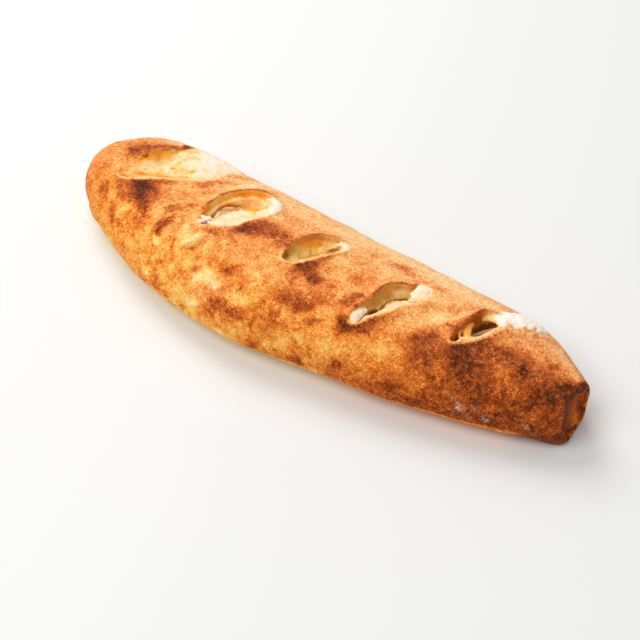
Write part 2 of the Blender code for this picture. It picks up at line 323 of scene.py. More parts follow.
# Each vent has its own frame: u along its chord, v across it towards the lip
# that faces the back. "wall" and "mound" give depth below the skin against
# distance from the upper and from the lower lip. A slot is a gap that goes
# deeper: a line of (u, v), its half width and its depth.
VENTS = (
    {
        "ends": ((-151.5, -5.0), (-80.0, 48.0)),
        "upper": [(-44.5, 0), (-42.0, 4.5), (-38.3, 9.2), (-31.8, 14.2), (-23.8, 17.9),
                  (-17, 20.0), (-10.3, 21.7), (-3.5, 24.6), (3, 31), (9, 36), (18, 38),
                  (27, 33), (35, 22), (41.5, 10), (44.5, 3)],
        "lower": [(-44.5, 0), (-42.5, -3), (-35.9, -5.6), (-28.9, -7.2), (-21.9, -7.8),
                  (-15.1, -8.4), (-4.7, -10.8), (4.2, -12.6), (12.4, -13.6), (21.1, -11.6),
                  (26.8, -5.2), (33.3, 0.6), (40, 0.6), (44.5, 3)],
        "wall": [(0, 0.3), (1.2, 1.5), (3.0, 2.5), (6.0, 3.8), (9.0, 4.8), (20.0, 5.4)],
        "mound": [(0, 0.5), (1.2, 1.4), (4.0, 2.6), (9.0, 4.2), (14.0, 5.2), (30.0, 5.4)],
        "slots": [],
        "lips": (2.6, 5.0, 0.9, 6.0),
        "part": 0.86,
    },
    {
        "ends": ((-74.0, -12.0), (-34.0, 26.5)),
        "upper": [(-28.0, -1.5), (-26.4, 3.0), (-23.6, 7.4), (-19.8, 11.2), (-15.2, 14.8),
                  (-10.8, 17.8), (-5.2, 20.6), (1.7, 22.3), (8.5, 22.9), (15.1, 21.6),
                  (20.1, 18.2), (24.4, 11.4), (26.6, 1.1)],
        "lower": [(-28.0, -1.5), (-28.2, -5.2), (-25.5, -8.2), (-21.5, -9), (-17.6, -11.4),
                  (-13.2, -13.2), (-8.1, -14), (-3.9, -13.9), (1.2, -12.3), (7.2, -11.2),
                  (12.5, -10.7), (17.9, -9.3), (23, -5.8), (26.6, 1.1)],
        "wall": [(0, 0.3), (0.9, 2.4), (3.0, 3.4), (5.5, 4.6), (8.5, 5.6), (10.5, 8.0), (20.0, 9.5)],
        "mound": [(0, 0.5), (1.2, 1.2), (4.0, 2.2), (8.0, 3.2), (12.0, 4.6), (16.0, 6.5), (26.0, 9.0)],
        "slots": [([(-21.6, -1.4), (-20.2, 1.8), (-17.4, 5.6), (-13.2, 9.6), (-9.0, 11.7), (-4.4, 12.5), (1.0, 12.6)], 1.25, 9.5)],
        "lips": (2.2, 5.5, 1.1, 6.0),
        "part": 0.765,
    },
    {
        "ends": ((-4.5, -15.5), (26.5, 16.5)),
        "upper": [(-22.5, -0.6), (-20.8, 2.1), (-18.6, 4.2), (-14.1, 7.9), (-8.3, 11.3),
                  (-2.8, 13.4), (2.5, 14.4), (7.6, 13.9), (12.4, 11.8), (16.8, 8.2),
                  (20, 4.6), (22.2, 0.4)],
        "lower": [(-22.5, -0.6), (-21.6, -3), (-19.5, -5.4), (-16.7, -7.3), (-11.9, -8.2),
                  (-6.6, -7.3), (-1.4, -6.5), (3.8, -5.9), (9, -5.4), (14.4, -3.9),
                  (18.5, -2.8), (22.2, 0.4)],
        "wall": [(0, 0.4), (0.9, 2.0), (3.0, 3.4), (6.0, 5.0), (10.0, 6.6), (16.0, 7.6)],
        "mound": [(0, 0.5), (1.2, 1.8), (3.0, 3.0), (6.0, 4.8), (10.0, 6.6), (16.0, 7.6)],
        "slots": [
            ([(7.6, 3.8), (11.7, 4.5), (16.4, 3.4)], 0.75, 6.5),
            ([(-21.0, 2.0), (-18.6, 4.4)], 1.5, 6.0),
        ],
        "lips": (2.6, 5.0, 1.2, 6.0),
        "part": 0.50,
    },
    {
        "ends": ((57.5, -33.0), (89.5, 12.0)),
        "upper": [(-27.6, -0.5), (-26.2, 1.9), (-22.2, 3.4), (-17.7, 4.6), (-13.3, 5.8),
                  (-8.5, 7.8), (-3.1, 10.4), (2.7, 13.0), (7.6, 14), (12.7, 13.2),
                  (17, 10.8), (21.3, 9.8), (25.5, 8.6), (28, 5.2), (28.4, 1.7)],
        "lower": [(-27.6, -0.5), (-26.9, -3.1), (-23.6, -4.9), (-18.9, -4.4), (-15.2, -4.4),
                  (-10.3, -4.8), (-5.4, -5.1), (0.2, -4.4), (5.8, -3.8), (10.5, -4.4),
                  (15.6, -4.7), (20.8, -4.3), (25.5, -1.5), (28.4, 1.7)],
        "wall": [(0, 0.4), (0.9, 2.6), (2.5, 4.4), (5.0, 6.6), (8.0, 8.6), (14.0, 10.0)],
        "mound": [(0, 0.3), (1.2, 0.8), (3.0, 1.5), (5.5, 2.6), (7.5, 4.0), (9.5, 6.4), (14.0, 9.0)],
        "slots": [
            ([(-17.0, 1.2), (-13.4, 1.5), (-10.0, 2.0), (-7.4, 2.8)], 2.0, 12.0),
            ([(-8.0, 2.6), (-4.0, 3.8), (0.6, 5.4), (5.0, 6.4), (9.0, 6.4)], 0.8, 7.0),
            ([(6.0, 5.8), (10.4, 5.0), (15.4, 3.8)], 1.8, 12.0),
        ],
        "lips": (2.8, 5.0, 1.4, 6.0),
        "part": 0.58,
    },
    {
        "ends": ((115.0, -13.5), (156.0, 26.0)),
        "upper": [(-28.2, -0.9), (-26.6, 1.2), (-23.8, 2.8), (-20.6, 4.8), (-17.0, 7.4), (-12.8, 10.4),
                  (-8.6, 13.2), (-4.6, 15.8), (-0.7, 17.6), (3.3, 17.1), (6.5, 13.8), (8.3, 9.5), (9.0, 5.0)],
        "lower": [(-28.4, -0.9), (-27.2, -2.2), (-24.3, -3.2), (-19.7, -3.8), (-13.8, -3.8),
                  (-8.8, -3.2), (-3.7, -1.8), (1.9, 0.6), (6.0, 2.1), (9.0, 5.0)],
        "wall": [(0, 0.4), (0.9, 2.2), (2.5, 3.8), (5.0, 5.6), (8.0, 7.6), (11.0, 9.6), (16.0, 11.0)],
        "mound": [(0, 0.3), (1.2, 1.0), (3.0, 1.9), (5.0, 3.2), (6.8, 7.6), (14.0, 12.0)],
        "slots": [
            ([(-14.8, 5.0), (-10.3, 5.6), (-5.1, 7.4), (0.6, 9.6), (5.6, 11.4)], 2.7, 14.0),
            ([(-26.0, 0.4), (-23.2, 1.6), (-21.0, 3.2)], 1.7, 8.0),
        ],
        "lips": (2.6, 5.0, 1.2, 6.0),
        "part": 0.30,
    },
)
CELL = 0.25


class Vent:
    """The relief of one vent as a plan map in its own frame."""

    def __init__(self, spec, index):
        (x0, y0), (x1, y1) = spec["ends"]
        self.cx, self.cy = 0.5 * (x0 + x1), 0.5 * (y0 + y1)
        length = math.hypot(x1 - x0, y1 - y0)
        self.c, self.s = (x1 - x0) / length, (y1 - y0) / length
        self.half = 0.5 * length
        upper, lower = rounded(spec["upper"], False), rounded(spec["lower"], False)
        polygon = np.vstack([upper, lower[::-1][1:-1]])
        self.u0 = polygon[:, 0].min() - 22.0
        self.v0 = polygon[:, 1].min() - 22.0
        us = np.arange(self.u0, polygon[:, 0].max() + 22.0, CELL)
        vs = np.arange(self.v0, polygon[:, 1].max() + 22.0, CELL)
        gu, gv = np.meshgrid(us, vs, indexing="ij")
        self.shape = gu.shape
        p = np.stack([gu.ravel(), gv.ravel()], axis=1)
        wobble = flat3(p[:, 0], p[:, 1], 50.0 * index)
        shift = np.stack([N1.rough(wobble, 5.0, 2), N2.rough(wobble, 5.0, 2)], axis=1)
        q = p + 0.45 * shift
        a, _ = chain(q, upper)
        b, _ = chain(q, lower)
        inner = inside(q, polygon)
        out = np.where(inner, -1.0, 1.0) * np.minimum(a, b)
        share = b / (a + b + 1e-6)  # 0 at the lower lip, 1 at the upper
        lumps = N3.rough(wobble, 7.0, 3)
        fine = N4.rough(wobble, 2.6, 2)
        along = N1.rough(flat3(p[:, 0], 0.25 * p[:, 1], 9.0 * index), 6.5, 3, 0.6)
        wall = np.interp(a, *np.array(spec["wall"], float).T)
        wall = wall * (1 + 0.14 * lumps + 0.26 * along * smooth(0.3, 1.4, a))
        lumpy = 0.2 if index == 1 else 1.0
        mound = np.interp(b, *np.array(spec["mound"], float).T) * (1 + 0.24 * lumpy * lumps)
        pleats = 1.0 - np.abs(N2.rough(wobble + 90.0, 6.0, 2)) * 2.2
        depth = smin(wall, mound, 1.4) + lumpy * (0.45 * lumps + 0.24 * fine - 0.40 * pleats)
        for which, cu, cv, ra, rb, turn, deeper in SCULPT:
            if which == index:
                du, dv = ellipse(p[:, 0], p[:, 1], cu, cv, ra, rb, turn)
                depth = depth + deeper * np.exp(-((du * du + dv * dv) ** 1.3))
        slot_mask = np.zeros(len(p))
        for line, radius, deep in spec["slots"]:
            d, along = chain(q + 0.3 * shift, rounded(line, False))
            r = radius * (0.55 + 0.45 * np.sin(np.pi * np.clip(along, 0.04, 0.96)))
            cut = deep * np.sqrt(np.clip(1.0 - (d / r) ** 2, 0.0, 1.0))
            depth = np.maximum(depth, cut)
            slot_mask = np.maximum(slot_mask, smooth(1.35, 0.6, d / r))
        depth = self.special(index, p, a, b, depth, lumps, fine)
        high_u, wide_u, high_l, wide_l = spec["lips"]
        side = smooth(0.3, 0.7, share)
        outward = np.maximum(out, 0.0)
        ragged = 1.0 + 0.26 * N2(wobble, 7.0) + 0.05 * N1(wobble, 2.8)
        ends = smooth(self.half + 3.0, self.half - 9.0, np.abs(p[:, 0]))
        rise_u = high_u * np.exp(-((outward / wide_u) ** 1.5)) * (0.35 + 0.65 * ends)
        if index == 0:
            rise_u = rise_u * smooth(-42.0, -18.0, p[:, 0]) * (1 - smooth(-8.0, 2.0, p[:, 0]))
        if index == 3:
            rise_u = rise_u * (1 - 0.7 * smooth(6.0, 14.0, p[:, 0]))
        rise_l = high_l * np.exp(-((outward / wide_l) ** 2))
        rise = (rise_l + (rise_u - rise_l) * side) * ragged
        soft = 1.15 + (5.5 * smooth(-25.0, -37.0, p[:, 0]) if index == 0 else 0.0)
        step = smooth(0.0, 1.0, -out / soft)
        relief = -rise * (1 - step) + depth * step
        self.maps = np.stack(
            [relief, out, share, a, b, slot_mask], axis=1
        ).astype(np.float32).reshape(self.shape + (6,))
        self.part = spec["part"]
        self.lean = 0.12 if index == 0 else 0.34
        self.index = index

    @staticmethod
    def special(index, p, a, b, depth, lumps, fine):
        u, v = p[:, 0], p[:, 1]
        if index == 0:
            # The stretched dough swells up to the skin in the right half.
            swell = smooth(-16.0, 12.0, u + 0.25 * v)
            low = np.minimum(1.5 * smooth(5.0, 0.0, b), 1.6)
            full = 0.5 + low + 0.5 * lumps + 0.15 * fine - 1.2 * smooth(4, 18, b)
            depth = depth * (1 - swell) + full * swell
            # A bubbly shelf at the left end.
            shelf = smooth(-12.0, -36.0, u)
            depth = depth * (1 - shelf) + (0.45 + 0.5 * lumps + 0.5 * fine) * shelf
        if index == 1:
            # A ledge of dough hangs from the upper wall.
            ledge = smooth(-23.0, -14.0, u) * smooth(22.0, 12.0, u)
            bulge = 1.6 * np.exp(-(((a - 6.0) / 2.4) ** 2)) * ledge
            depth = depth - bulge
            # The right rim is thick and round.
            rim = np.exp(-((((u - 22.5) / 4.0) ** 2 + ((v - 6.0) / 9.0) ** 2) ** 1.2))
            depth = depth * (1 - rim) + (0.6 + 0.3 * lumps) * rim
        if index == 2:
            rim = np.exp(-((((u - 19.5) / 3.2) ** 2 + ((v - 2.5) / 5.0) ** 2) ** 1.3))
            depth = depth * (1 - rim) + (1.2 + 0.3 * lumps) * rim
        return depth

    def local(self, x, y):
        dx, dy = x - self.cx, y - self.cy
        return dx * self.c + dy * self.s, -dx * self.s + dy * self.c

    def near(self, x, y):
        u, v = self.local(x, y)
        fu, fv = (u - self.u0) / CELL, (v - self.v0) / CELL
        n, m = self.shape
        return (fu > 1) & (fu < n - 3) & (fv > 1) & (fv < m - 3)

    def sample(self, x, y, h=None):
        """Columns: relief, distance outside, share across, from the upper lip,
        from the lower lip, slot. h is height above the skin: below it the
        upper wall leans back under its lip."""
        u, v = self.local(x, y)
        if h is not None:
            v = v - self.lean * np.clip(-h, 0.0, 6.0) * smooth(2.0, 7.0, v)
        fu = np.clip((u - self.u0) / CELL, 0, self.shape[0] - 2.001)
        fv = np.clip((v - self.v0) / CELL, 0, self.shape[1] - 2.001)
        i, j = fu.astype(int), fv.astype(int)
        a, b = (fu - i)[:, None], (fv - j)[:, None]
        m = self.maps
        return (m[i, j] * (1 - b) + m[i, j + 1] * b) * (1 - a) + (
            m[i + 1, j] * (1 - b) + m[i + 1, j + 1] * b
        ) * a


# ------------------------------------------------------ torn dough and flour
# Strands and lumps of pale dough: points (x, y, height above the skin,
# radius) along a line, how rough, and how much flour they carry.
STRANDS = (
    # a torn web of dough at the left end of the second vent
    ([(-73.4, -16.4, 0.1, 1.2), (-71.6, -14.2, 0.3, 1.7), (-70.0, -11.4, 0.2, 1.8), (-68.4, -8.8, 0.0, 1.6), (-66.4, -8.4, -0.9, 1.1)], 0.35, 0.4, 0.10, 2.4),
    ([(-74.0, -9.4, -0.1, 1.0), (-71.6, -9.6, 0.2, 1.4), (-68.8, -10.6, 0.1, 1.5)], 0.4, 0.4, 0.10, 2.2),
    ([(-67.4, -11.4, -1.0, 0.8), (-63.4, -11.2, -0.3, 1.8), (-59.6, -10.4, -0.3, 1.9), (-55.6, -9.0, -0.9, 1.1)], 0.3, 0.3, 0.08, 2.4),
    # its thick right rim
    ([(-50.0, 31.0, -1.2, 1.2), (-45.5, 30.4, 0.0, 2.2), (-39.5, 27.6, 0.6, 2.9), (-35.4, 22.2, 0.7, 3.1), (-34.6, 16.5, 0.2, 2.6), (-36.4, 12.0, -0.6, 1.5)], 0.3, 0.35, 0.10),
    # right end of the third vent
    ([(16.5, 14.6, -1.2, 1.1), (19.5, 16.6, -0.2, 1.9), (23.0, 16.4, 0.1, 2.3), (24.6, 13.6, 0.0, 2.2), (23.6, 10.6, -0.8, 1.3)], 0.4, 0.3, 0.14),
    # the fourth vent's two ends
    ([(60.0, -31.8, -0.4, 2.4), (59.8, -28.6, -0.1, 3.5), (60.8, -25.0, -0.3, 3.0), (62.0, -22.4, -1.0, 1.9)], 0.5, 0.45, 0.13, 2.6),
    ([(78.6, 6.4, -2.0, 1.6), (80.6, 9.4, -0.7, 2.6), (82.0, 12.4, 0.0, 3.2), (86.0, 12.8, -0.1, 2.6), (87.6, 9.8, -0.4, 1.9)], 0.2, 0.45, 0.12, 2.8),
    ([(80.6, 0.4, -1.6, 1.6), (83.6, 3.4, -0.6, 2.7), (86.2, 7.0, -0.2, 3.0)], 0.35, 0.4, 0.14, 2.8),
    ([(80.0, 4.6, -1.6, 1.8), (82.8, 7.4, -0.2, 3.9), (85.0, 10.4, 0.0, 3.4)], 0.2, 0.45, 0.12, 2.6),
    # webs across the fifth vent's left end
    ([(119.4, -7.6, -1.5, 0.7), (117.9, -4.5, -1.3, 0.8), (117.1, -1.3, -1.4, 0.9), (116.9, 1.6, -1.9, 1.0)], 0.2, 0.0, 0.34),
    ([(122.8, -4.8, -1.9, 1.9), (120.8, -0.8, -2.0, 2.5), (119.2, 2.8, -2.3, 2.6), (118.2, 6.2, -2.9, 2.0)], 0.25, 0.0, 0.30, 3.2),
    ([(121.4, -8.0, -1.0, 1.2), (127.0, -4.9, -0.9, 1.7), (132.4, -1.6, -0.9, 1.6), (136.6, 2.4, -0.9, 1.0)], 0.3, 0.0, 0.19),
    # the pale sheet and floury fold from the fifth vent over to the back
    ([(121.6, 16.2, -3.8, 1.4), (126.0, 17.8, -2.6, 2.4), (131.0, 18.4, -1.5, 3.0), (135.4, 16.8, -1.0, 3.2)], 0.15, 0.10, 0.27, 3.0),
    ([(129.0, 20.6, -0.8, 2.4), (134.0, 19.4, -0.5, 3.2), (137.4, 16.4, -0.4, 2.8), (136.8, 12.4, -0.5, 1.9)], 0.2, 0.30, 0.16, 2.6),
    ([(131.0, 22.0, -1.0, 4.4), (137.0, 22.2, -0.4, 8.2), (143.0, 26.2, -0.3, 9.4), (148.6, 30.4, -0.5, 8.4), (152.8, 32.6, -0.9, 5.8), (156.4, 32.8, -1.4, 3.0)], 0.8, 1.0, 0.06, 6.0),
)
# Crumbly toasted crust along the fold's near edge.
CRUMBS = (
    ([(134.6, 9.2, -0.5, 1.0), (138.0, 11.5, -0.2, 1.3), (142.0, 12.8, -0.1, 1.5), (146.0, 14.4, 0.0, 1.6), (149.5, 17.3, 0.0, 1.6), (152.8, 21.5, -0.1, 1.5), (155.8, 25.9, -0.4, 1.3), (159.5, 28.0, -0.9, 0.9)], 1.0, 0.0, 0.0, 2.4),
    ([(142.0, 15.0, 0.9, 0.7), (146.2, 16.8, 1.1, 1.0), (149.4, 20.4, 1.1, 0.9), (152.2, 25.0, 0.8, 0.8)], 1.6, 0.0, 0.0, 2.0),
)
# Sculpting inside the vents: (vent, u, v, long radius, short radius, turn, how
# much deeper in mm), then their colours: (the same six, tone, gold, weight).
SCULPT = (
    (0, -15.5, 13.4, 12.4, 3.7, 8, 0.7),
    (0, -3.9, 3.7, 8.4, 3.6, -10, -0.9),
    (0, 8.3, 6.6, 6.9, 4.1, 89, -0.8),
    (0, -23.2, 5.6, 4.8, 3.3, 13, 0.8),
    (0, -31.4, 5.7, 4.5, 3.9, 72, -0.9),
    (0, -38.5, 7.7, 5.7, 3.0, 40, 0.5),
    (0, 2.1, 16.8, 6.1, 3.4, 89, 0.9),
    (0, 24.7, 28.6, 17.7, 4.4, -59, -0.5),
    (0, 18.3, 2.5, 8.7, 3.9, 28, 0.5),
    (1, 0.7, 16.8, 9.6, 2.7, 10, -1.2),
    (1, -9.1, 12.3, 3.8, 2.0, 38, -0.8),
    (1, 11.6, 18.0, 4.0, 2.9, -13, -0.8),
    (1, 14.5, 8.4, 6.1, 2.9, 9, 0.9),
    (1, -11.8, -2.2, 3.3, 2.6, -11, -0.7),
    (1, 6.0, 9.9, 3.7, 2.7, 84, 0.5),
    (1, 22.5, 7.6, 7.2, 2.7, 78, -0.8),
    (2, 0.3, 9.7, 6.5, 2.6, 4, -0.8),
    (2, -12.6, 2.3, 5.1, 2.2, 7, 0.9),
    (2, 4.2, 3.0, 5.2, 1.9, 4, -0.6),
    (2, -6.8, -0.7, 4.4, 1.8, -1, -0.6),
    (3, -4.7, 9.3, 6.1, 1.7, 20, -0.8),
    (3, 11.5, 10.2, 3.8, 2.1, -5, -0.8),
    (3, 3.4, 9.8, 4.8, 1.5, 15, 0.9),
    (4, 2.6, 15.6, 4.6, 3.3, 44, -1.6),
    (4, -8.9, 13.9, 4.4, 1.7, 31, -0.8),
)
TONES = (
    (0, -38.5, 7.7, 12.5, 6.3, 48, 0.38, 0.95, 0.95),
    (0, -43.9, 3.9, 6.7, 5.0, 33, 0.42, 0.95, 0.9),
    (0, -31.6, 6.6, 4.5, 4.0, 73, 0.22, 0.45, 0.8),
    (0, -37.4, 11.1, 9.3, 2.3, 36, 0.24, 1, 0.95),
    (0, -22.6, 17.3, 7.8, 2.6, 22, 0.2, 1, 0.95),
    (0, -8.4, 20.9, 10.4, 3.1, 14, 0.2, 1, 0.95),
    (0, -27.0, 16.3, 2.5, 1.1, 23, 0.84, 0.7, 0.85),
    (0, -32.0, 13.8, 1.8, 1.1, -10, 0.66, 0.7, 0.7),
    (0, -13.0, 15.8, 15.2, 3.9, 11, 0.26, 0.5, 0.6),
    (0, -19.1, 13.0, 6.3, 4.8, 25, 0.33, 0.2, 0.6),
    (0, -3.4, 16.9, 7.3, 5.5, 87, 0.1, 0, 0.6),
    (0, -5.6, 7.1, 16.5, 7.5, 3, 0.19, 0.15, 0.8),
    (0, -13.3, 1.7, 4.8, 2.7, -5, 0.27, 0.5, 0.5),
    (0, 5.5, 7.5, 5.4, 3.4, 90, 0.1, 0, 0.5),
    (0, -7.4, 4.7, 2.6, 1.2, -38, 0.42, 0.85, 0.75),
    (0, 6.6, -1.1, 3.5, 1.4, -2, 0.46, 0.9, 0.8),
    (0, 1.7, 1.6, 3.6, 1.2, -22, 0.34, 0.6, 0.5),
    (0, -15.9, -0.9, 6.5, 1.5, -17, 0.4, 0.8, 0.7),
    (0, -2.8, 18.7, 3.1, 1.6, 40, 0.32, 0.5, 0.5),
    (0, -2.5, 12.8, 3.4, 2.7, 87, 0.22, 0.5, 0.5),
    (0, -22.8, 1.4, 5.6, 2.7, -8, 0.24, 0.5, 0.6),
    (0, -10.0, -4.7, 13.9, 1.6, -8, 0.38, 0.9, 0.8),
    (0, -30.9, -1.1, 9.2, 2.4, -7, 0.44, 0.95, 0.9),
    (0, 18.4, 21.6, 27.7, 13.1, 89, 0.05, 0, 0.9),
    (0, 33.7, 15.5, 17.5, 7.2, 87, 0.08, 0.05, 0.8),
    (0, 14.3, 9.8, 7.9, 5.3, 80, 0.1, 0, 0.5),
    (0, 6.8, 28.3, 10.2, 3.3, 90, 0.24, 0.3, 0.5),
    (1, -17.1, 10.5, 5.4, 2.2, 62, 0.07, 0.55, 0.9),
    (1, -10.0, 16.1, 7.4, 2.5, 32, 0.07, 0.8, 0.9),
    (1, 1.1, 19.4, 7.4, 2.8, 3, 0.18, 1, 0.9),
    (1, 13.2, 20.6, 7.3, 3.0, -9, 0.24, 1, 0.9),
    (1, -9.0, 13.4, 5.8, 2.3, 29, 0.3, 0.55, 0.8),
    (1, 4.4, 13.9, 8.7, 4.3, 5, 0.29, 0.5, 0.8),
    (1, 12.8, 17.2, 6.0, 4.4, -3, 0.2, 0.5, 0.7),
    (1, -8.6, 4.3, 7.0, 4.6, 30, 0.13, 0.05, 0.85),
    (1, -1.6, 7.2, 6.8, 2.9, 13, 0.16, 0.1, 0.8),
    (1, -2.1, 2.9, 12.2, 5.4, 15, 0.14, 0, 0.8),
    (1, -13.1, -1.5, 5.9, 4.2, -4, 0.12, 0, 0.8),
    (1, 9.0, 4.1, 4.3, 1.1, 79, 0.24, 0.95, 0.85),
    (1, 11.9, 9.0, 8.6, 1.7, -3, 0.25, 1, 0.9),
    (1, 18.4, 6.9, 3.1, 2.0, 79, 0.33, 1, 0.8),
    (1, 6.9, 12.4, 3.3, 2.1, -3, 0.3, 0.9, 0.7),
    (1, 13.8, 2.4, 4.9, 3.0, 22, 0.1, 0.15, 0.6),
    (1, 22.5, 7.6, 10.1, 4.0, 79, 0.05, 0, 0.9),
    (1, 19.6, 17.6, 3.9, 3.3, -89, 0.2, 0.5, 0.6),
    # painted shade down the slot at the left end
    (1, -18.6, 3.5, 2.6, 2.2, -63, 0.62, 0.1, 0.7),
    # painted shade down the slot at the left end
    (2, -19.3, 3.7, 3.6, 2.5, 83, 0.8, 0.2, 0.85),
    (2, -13.1, 7.0, 5.7, 3.7, 37, 0.42, 0.1, 0.7),
    (2, 1.8, 10.9, 7.1, 2.2, 1, 0.36, 1, 0.9),
    (2, -6.1, 9.8, 4.6, 2.3, 13, 0.36, 0.7, 0.7),
    (2, 12.0, 10.0, 5.7, 3.4, -16, 0.26, 0.2, 0.7),
    (2, -6.7, 3.2, 7.7, 4.1, 4, 0.48, 0.1, 0.8),
    (2, 4.2, 3.5, 5.9, 3.3, 7, 0.38, 0.12, 0.7),
    (2, -1.7, 5.8, 9.0, 2.9, 2, 0.36, 0.2, 0.6),
    (2, -13.3, -1.6, 5.0, 2.1, -6, 0.24, 0.1, 0.7),
    # painted shade down the slot on the right
    (2, 12.3, 4.9, 4.5, 1.5, 1, 0.72, 0.2, 0.85),
    (2, 19.1, 3.5, 4.5, 3.1, 68, 0.08, 0.05, 0.85),
    (2, 2.2, 6.3, 7.8, 2.0, 3, 0.36, 0.3, 0.5),
    (3, -9.2, 7.9, 8.1, 2.1, 24, 0.32, 0.25, 0.85),
    (3, 3.3, 12.9, 6.9, 2.4, 16, 0.28, 0.45, 0.85),
    (3, 13.0, 10.8, 5.6, 2.9, -13, 0.23, 0.35, 0.8),
    (3, -3.6, 8.8, 8.1, 2.1, 20, 0.44, 0.2, 0.7),
    (3, 8.4, 9.1, 6.4, 2.1, 0, 0.38, 0.2, 0.7),
    (3, 3.0, 0.9, 5.8, 2.2, 7, 0.2, 0.2, 0.85),
    (3, -2.1, -0.5, 4.9, 1.8, -3, 0.18, 0.2, 0.7),
    (3, -13.2, -2.4, 5.4, 1.1, -8, 0.18, 0.2, 0.6),
    (3, 1.6, 5.2, 5.9, 1.5, 9, 0.34, 0.2, 0.5),
    (4, -17.7, 9.4, 6.0, 2.1, 46, 0.52, 0.95, 0.9),
    (4, -8.8, 15.0, 6.7, 2.3, 33, 0.56, 0.95, 0.9),
    (4, -0.4, 18.4, 5.5, 2.4, 15, 0.44, 0.9, 0.85),
    (4, -7.9, 13.0, 6.3, 2.5, 25, 0.62, 0.8, 0.85),
    (4, 1.7, 16.5, 4.8, 3.2, 21, 0.26, 0.2, 0.8),
    (4, 4.4, 12.7, 3.9, 3.4, 35, 0.24, 0.1, 0.7),
    # these three: painted shade in the cavity
    (4, -3.1, 11.7, 9.8, 3.2, 20, 0.84, 0.45, 0.85),
    (4, -3.0, 8.3, 8.7, 2.3, 16, 0.84, 0.45, 0.8),
    (4, -4.3, 6.0, 8.8, 1.9, 19, 0.86, 0.4, 0.85),
    (4, -11.4, 0.3, 8.4, 1.5, -1, 0.16, 0.1, 0.8),
    # painted shade down the slot at the left end
    (4, -23.7, 4.1, 2.9, 2.3, 71, 0.7, 0.3, 0.7),
    (4, 0.1, 2.5, 4.8, 1.3, 21, 0.3, 0.8, 0.7),
)


VENT_MAPS = [Vent(spec, i) for i, spec in enumerate(VENTS)]


def strand(p, h, line):
    """Distance to a string of rounded beads given above the skin."""
    pts = np.array(line[0], float)
    best = np.full(len(p), 1e3)
    flat = line[4] if len(line) > 4 else 1.7
    plan = np.stack([p[:, 0], p[:, 1], h], axis=1)
    for a, b in zip(pts, pts[1:]):
        ab = b[:3] - a[:3]
        t = np.clip(((plan - a[:3]) @ ab) / (ab @ ab), 0.0, 1.0)
        off = plan - a[:3] - t[:, None] * ab
        d = np.sqrt(off[:, 0] ** 2 + off[:, 1] ** 2 + flat * off[:, 2] ** 2)
        best = np.minimum(best, d - (a[3] + (b[3] - a[3]) * t))
    return best


# ----------------------------------------------------------------- ridges
# Wrinkles, dents and blisters on the skin: a line of (x, arc) points, the
# height in mm and the half width.
RIDGES = (
    ([(-72.8, 39.4), (-66.5, 31.2), (-63.1, 19.1)], 1.4, 3.12),
    ([(-74.9, 42.9), (-80.1, 36.6), (-82.3, 27.4), (-82.3, 14.6)], -1.08, 2.16),
    ([(-89.6, 45.6), (-95.7, 41.7), (-96.9, 33.4), (-95.7, 22.4)], -1.24, 1.68),
    ([(-65.6, 39.1), (-61.2, 30.8), (-56.7, 20.9)], -0.7, 1.92),
    ([(-107.9, 29.8), (-100.4, 17.7), (-89.7, 7.8)], 0.7, 2.4),
    ([(-98.7, 22.5), (-91.4, 14.4), (-84.9, 6.5)], -0.54, 1.68),
    ([(-97.7, -2.9), (-88.6, -16.5), (-79.2, -36.8)], 0.93, 2.64),
    ([(-97.1, -8.5), (-90.2, -20.4), (-82.7, -31.9)], -0.54, 1.56),
    ([(-109.5, 17.4), (-101.7, 7.9), (-92.8, -2.0)], -0.46, 1.68),
    ([(-63.4, 23.9), (-58.2, 15.0), (-50.5, 11.2)], 0.62, 2.64),
    ([(117.6, 14.8), (124.3, 15.0), (131.0, 8.6)], -0.78, 3.12),
    ([(139.0, 0.5), (147.1, -2.7), (154.1, -12.0)], 0.62, 3),
    ([(51.9, 34.8), (59.6, 37.3), (68.4, 32.4)], -0.78, 2.64),
    ([(3.6, 14.1), (10.8, 11.7), (17.7, 2.3)], 0.62, 3),
    ([(-146.8, 65.1), (-130.1, 65.1), (-115.4, 72.7)], 0.46, 2.64),
    ([(98.8, -4.9), (106.5, -17.5), (122.6, -22.2)], 0.78, 3.12),
)
# Bumps that are round: (x, arc, long radius, short radius, turn, height).
BUMPS = (
    (-90.6, 34.7, 8.8, 5.4, 82, 1.5),
    (-44.1, 66.7, 7.8, 5.5, -45, -1),
    (-35.0, 58.9, 6.4, 4.3, -24, 0.5),
    (104.3, 23.1, 8.3, 7.5, -68, -0.8),
    (129.3, 22.9, 9.7, 8.0, -82, -1.1),
    (-126.3, 20.2, 11.7, 8.7, -13, -0.5),
    (-38.8, 2.7, 11.4, 5.5, -26, -0.5),
    (13.5, 9.0, 6.9, 4.9, -41, -0.5),
    (153.3, 23.1, 11.1, 9.3, -30, 0.8),
    (179.3, 15.6, 7.3, 6.1, -53, -0.6),
    (59.0, 36.2, 6.0, 3.7, -23, -0.6),
    (97.6, 53.9, 4.9, 4.0, -71, -0.6),
    (55.0, 48.4, 11.2, 7.1, -13, 0.6),
    (-19.6, 52.6, 10.3, 6.3, -25, -0.4),
    (-12.2, 22.2, 11.8, 9.6, -17, 0.5),
    (-50.5, 74.2, 6.5, 3.1, -48, -0.7),
    (-38.6, 73.3, 5.6, 3.1, -46, 0.7),
)


